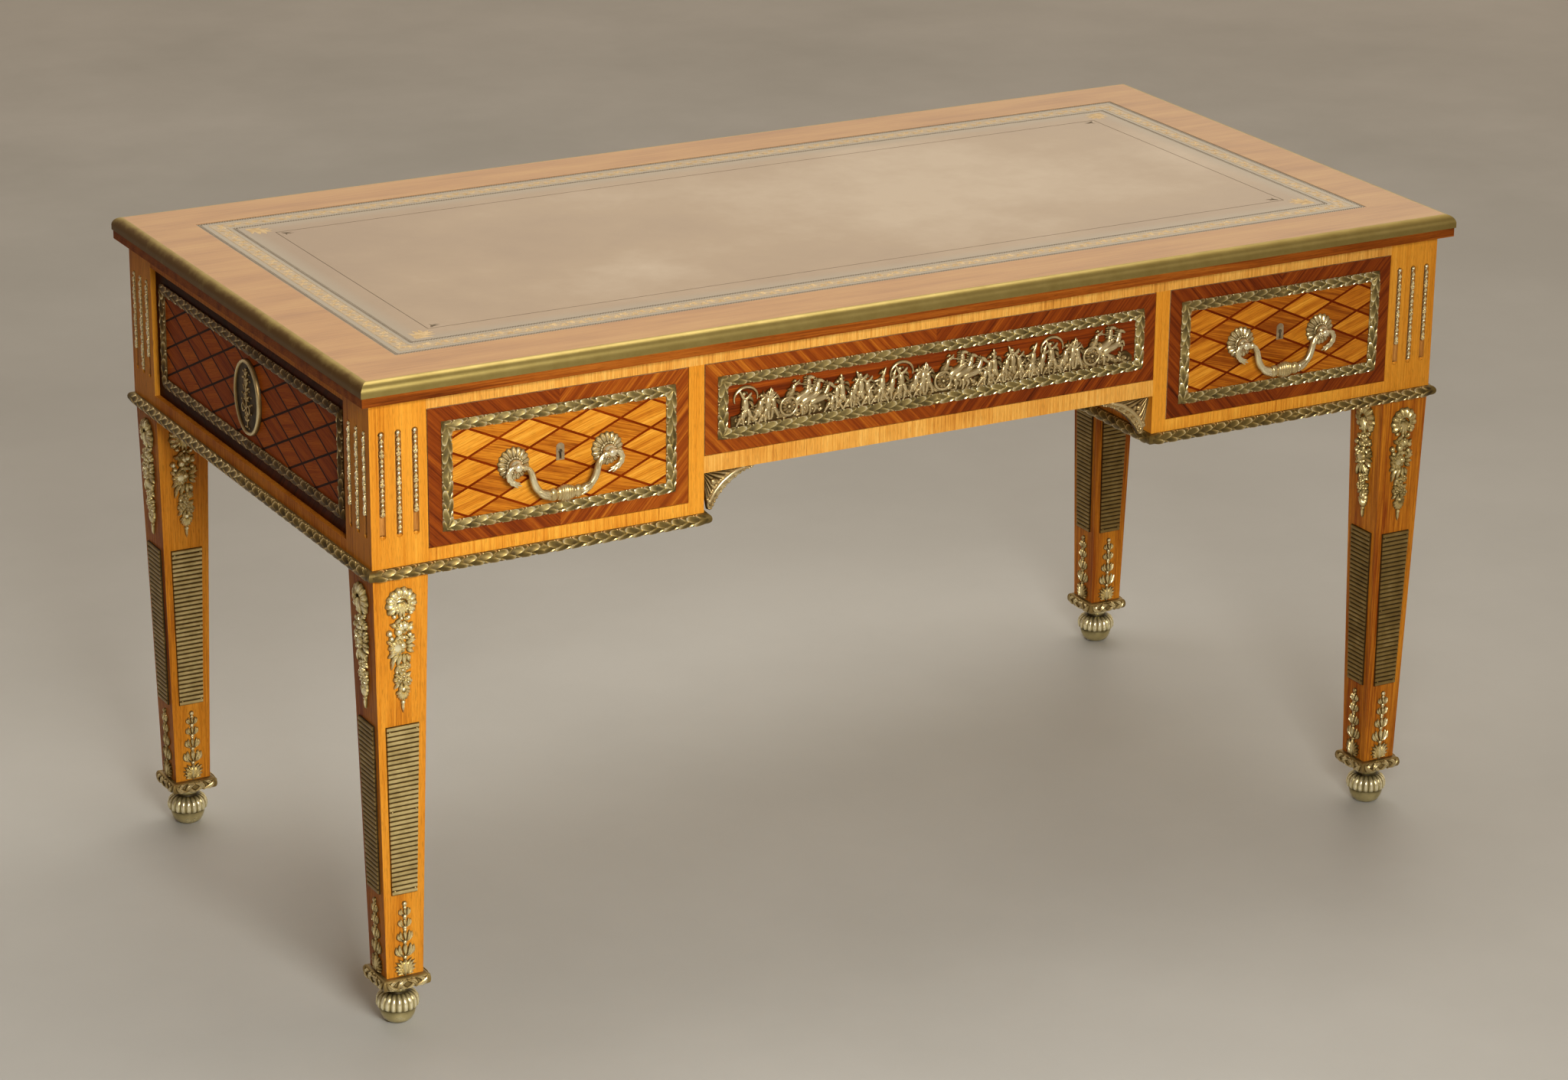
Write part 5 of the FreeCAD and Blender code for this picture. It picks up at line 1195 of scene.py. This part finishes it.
SCROLL_LENGTH = 22.0
SCROLL = ((3, 3.2, 8, -3.8, 4.0, 0.2), (5, 3.6, 11, 5.6, 3.4, 0.15), (4, 3.0, 0.5, 6.4, 3.0, -0.15),
          (6.5, 2.6, 4, -3.0, 3.0, 0.25))
SPRAY = ((44, 43, 70, 67, 8), (46, 43, 66, 43, 6, 0.2), (44, 45, 44, 66, 6, -0.2), (52, 49, 72, 51, 6, 0.14),
         (50, 51, 52, 72, 6, -0.14), (58, 55, 73, 59, 5, 0.1), (56, 57, 60, 73, 5, -0.1))
MARK = ((77, 75, 87, 84, 2.6, 0.1), (78, 75, 90, 77, 2.2, 0.25), (77, 77, 79, 88, 2.2, -0.25),
        (82, 79, 92, 82, 1.8, 0.2))

# Insets from the leather's edge, and dashes as (pitch, length, width)
SCROLL_INSET, DOT_INSETS, HATCH_INSETS, RULE_INSET = 19.5, (11.4, 27.6), (1.4, 33.6), 72.0
DOT, HATCH, HATCH_ANGLE, HATCH_GAP = (2.6, 1.7, 0.9), (3.3, 2.6, 1.1), 48, 2.2

gold, dark, scroll = Form(), Form(), Form()
for flip, start in ((1, -SCROLL_LENGTH / 2), (-1, 0.0)):
    stem = [(start + SCROLL_LENGTH / 2 * t, flip * 3.6 * math.sin(math.pi * t), 0.0)
            for t in np.linspace(0, 1, 9)]
    tube(scroll, stem, 0.7, around=5)
    leaves(scroll, SCROLL, 0.12, (1, flip), (start, 0), vein=0.1, steps=4)
for place in tooling_rows(SCROLL_INSET, SCROLL_LENGTH):
    gold.stamp(scroll, lambda points: np.column_stack([place(points[:, :2]), points[:, 2] * 0.25]))
for inset in DOT_INSETS:
    dashes(gold, inset, *DOT, 0)
for inset in HATCH_INSETS:
    dashes(dark, inset, *HATCH, HATCH_ANGLE)
    dashes(dark, inset + HATCH_GAP, *HATCH, -HATCH_ANGLE)
rule(dark, RULE_INSET, 0.8)
for x in (-1, 1):
    for y in (-1, 1):
        corner = ((-x, -y), (x * LEATHER_X, y * LEATHER_Y))
        leaves(gold, SPRAY, 0.14, *corner, vein=0.15)
        leaves(dark, MARK, 0.1, *corner, vein=0.1)
for form, look, name in ((gold, "gold_leaf", "gold_tooling"), (dark, "blind_tooling", "blind_tooling")):
    marks = Form()
    marks.stamp(form, lambda points: points + UP * LEATHER_TOP)
    marks.piece(name, look, "case", slot="leather")


# Surfaces of the solids that stay as they are

for look, names in (
        ("post_wood", "leg_front_left leg_back_left kneehole_side_left kneehole_side_right"),
        ("red_post_wood", "leg_front_right leg_back_right"),
        ("rail_wood", "front_top_rail back_top_rail apron_rails"),
        ("low_rail_wood", "bottom_rails"),
        ("side_rail_wood", "side_rails"),
        ("lip_wood", "top_board"),
        ("top_wood", "top_border"),
        ("lining_wood", "writing_bed drawer_kickers drawer_runners drawer_guides drawer_stops dust_boards "
         "left_drawer_box right_drawer_box centre_drawer_box left_drawer_bottom right_drawer_bottom "
         "centre_drawer_bottom left_drawer_front right_drawer_front centre_drawer_front false_drawer_fronts "
         "side_panels"),
        ("edge_brass", "brass_edge"),
        ("steel", "top_screws left_lock_case right_lock_case left_lock_bolt right_lock_bolt left_handle_nuts "
         "right_handle_nuts"),
        ("key_brass", "left_escutcheon right_escutcheon"),
        ("leather", "writing_leather")):
    for name in names.split():
        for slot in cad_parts[name].material_slots:
            slot.material = LOOK[look]


# Stage, light and camera, in metres

FLOOR_REACH = 80.0

# Rows of (place, target, size, power, colour, spread in degrees) for the area lights
KEY = ((-0.85, -2.75, 1.7), (-0.5, -0.35, 0.55), (1.2, 0.9), 26.0, (1.0, 0.99, 0.95), 98.0)
FILL = ((2.6, -3.2, 1.6), (0.0, 0.0, 0.4), (1.6, 1.6), 4.0, (1.0, 0.95, 0.88))
SIDE_LIGHT = ((-3.2, -3.0, 1.0), (-0.7, -0.3, 0.6), (0.8, 0.8), 2.5, (1.0, 0.8, 0.55))
CEILING = ((0.2, 0.7, 3.2), (0.1, 0.3, 0.0), (3.0, 2.0), 46.0, (1.0, 0.98, 0.95))

# The photo's camera: its right, up and back directions, place, and lens on a 36 mm sensor
CAMERA_AXES = ((0.87418725, -0.48549014, 0.00979647), (0.1587157, 0.30473799, 0.93911878),
               (-0.45891827, -0.81941081, 0.34345297))
CAMERA_PLACE, LENS, SENSOR = (-2.53404, -4.52329, 2.25919), 102.31, 36.0


def put(name, data, right, up, back, place):
    """Adds an object that looks against back."""
    made = bpy.data.objects.new(name, data)
    bpy.context.scene.collection.objects.link(made)
    made.matrix_world = Matrix([(*row, p) for row, p in zip(zip(right, up, back), place)] + [(0, 0, 0, 1)])
    return made


def area_light(name, place, target, size, power, colour, spread=180.0):
    light = bpy.data.lights.new(name, "AREA")
    light.shape = "RECTANGLE"
    light.size, light.size_y = size
    light.energy = power
    light.color = colour
    light.spread = math.radians(spread)
    back = np.subtract(place, target)
    back /= np.linalg.norm(back)
    right = np.cross(UP, back)
    right /= np.linalg.norm(right)
    made = put(name, light, right, np.cross(back, right), back, place)
    made.visible_camera = False
    return made


def light_only(light, name, pieces, state):
    """Links a light to some pieces ("INCLUDE"), or to all others ("EXCLUDE")."""
    group = bpy.data.collections.new(name)
    for piece in pieces:
        group.objects.link(piece)
    for member in group.collection_objects:
        member.light_linking.link_state = state
    light.light_linking.receiver_collection = group


def build_stage():
    mesh = bpy.data.meshes.new("floor")
    mesh.from_pydata([(*corner, 0) for corner in box(FLOOR_REACH, FLOOR_REACH)], [], [(0, 1, 2, 3)])
    floor = put("floor", mesh, RIGHT, BACK, UP, (0, 0, 0))
    made, tree, shader = material("floor", Roughness=0.55)
    coords = node(tree, "TexCoord", output="Object")
    away = node(tree, "VectorMath", {0: coords}, "Value", operation="LENGTH")
    tone = calc(tree, "ADD", remap(tree, away, 2.0, 9.0, 0.0, 1.6), noise(tree, coords, (1.6,) * 3, 6.0, 0.6))
    plug(tree, shader, {"Base Color": ramp(tree, calc(tree, "MULTIPLY", tone, 0.5), (0.15, 0.35, 1.0),
                                           linear((69, 68.5, 66), (73, 72.5, 70), (95, 94, 92)))})
    mesh.materials.append(made)

    world = bpy.data.worlds.new("studio")
    bpy.context.scene.world = world
    world.use_nodes = True
    tree = world.node_tree
    around = node(tree, "TexCoord", output="Generated")
    toward = node(tree, "VectorMath", {0: around, 1: (0.75, 0.66, 0.0)}, "Value", operation="DOT_PRODUCT")
    clouds = noise(tree, around, (5.0,) * 3, 3.0, 0.5)
    depth = remap(tree, calc(tree, "MULTIPLY_ADD", clouds, 1.2, toward), 0.5, 2.0)
    sky = ramp(tree, depth, (0.0, 1.0), linear((22.5, 13, 6.5), (100, 94, 84)))
    plug(tree, tree.nodes["Background"], {"Color": sky, "Strength": 1.4})

    # The key is not mirrored in the polished top
    polished = [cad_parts[name] for name in ("top_border", "writing_leather")]
    polished += [bpy.data.objects[name] for name in ("gold_tooling", "blind_tooling")]
    light_only(area_light("key", *KEY), "key", polished, "EXCLUDE")
    key_on_top = area_light("key_on_top", *KEY)
    light_only(key_on_top, "key_on_top", polished, "INCLUDE")
    key_on_top.visible_glossy = False
    area_light("fill", *FILL)
    area_light("side", *SIDE_LIGHT)
    area_light("ceiling", *CEILING)

    camera = bpy.data.cameras.new("camera")
    camera.sensor_width, camera.lens = SENSOR, LENS
    bpy.context.scene.camera = put("camera", camera, *CAMERA_AXES, CAMERA_PLACE)
    bpy.context.scene.view_settings.view_transform = "Standard"


build_stage()
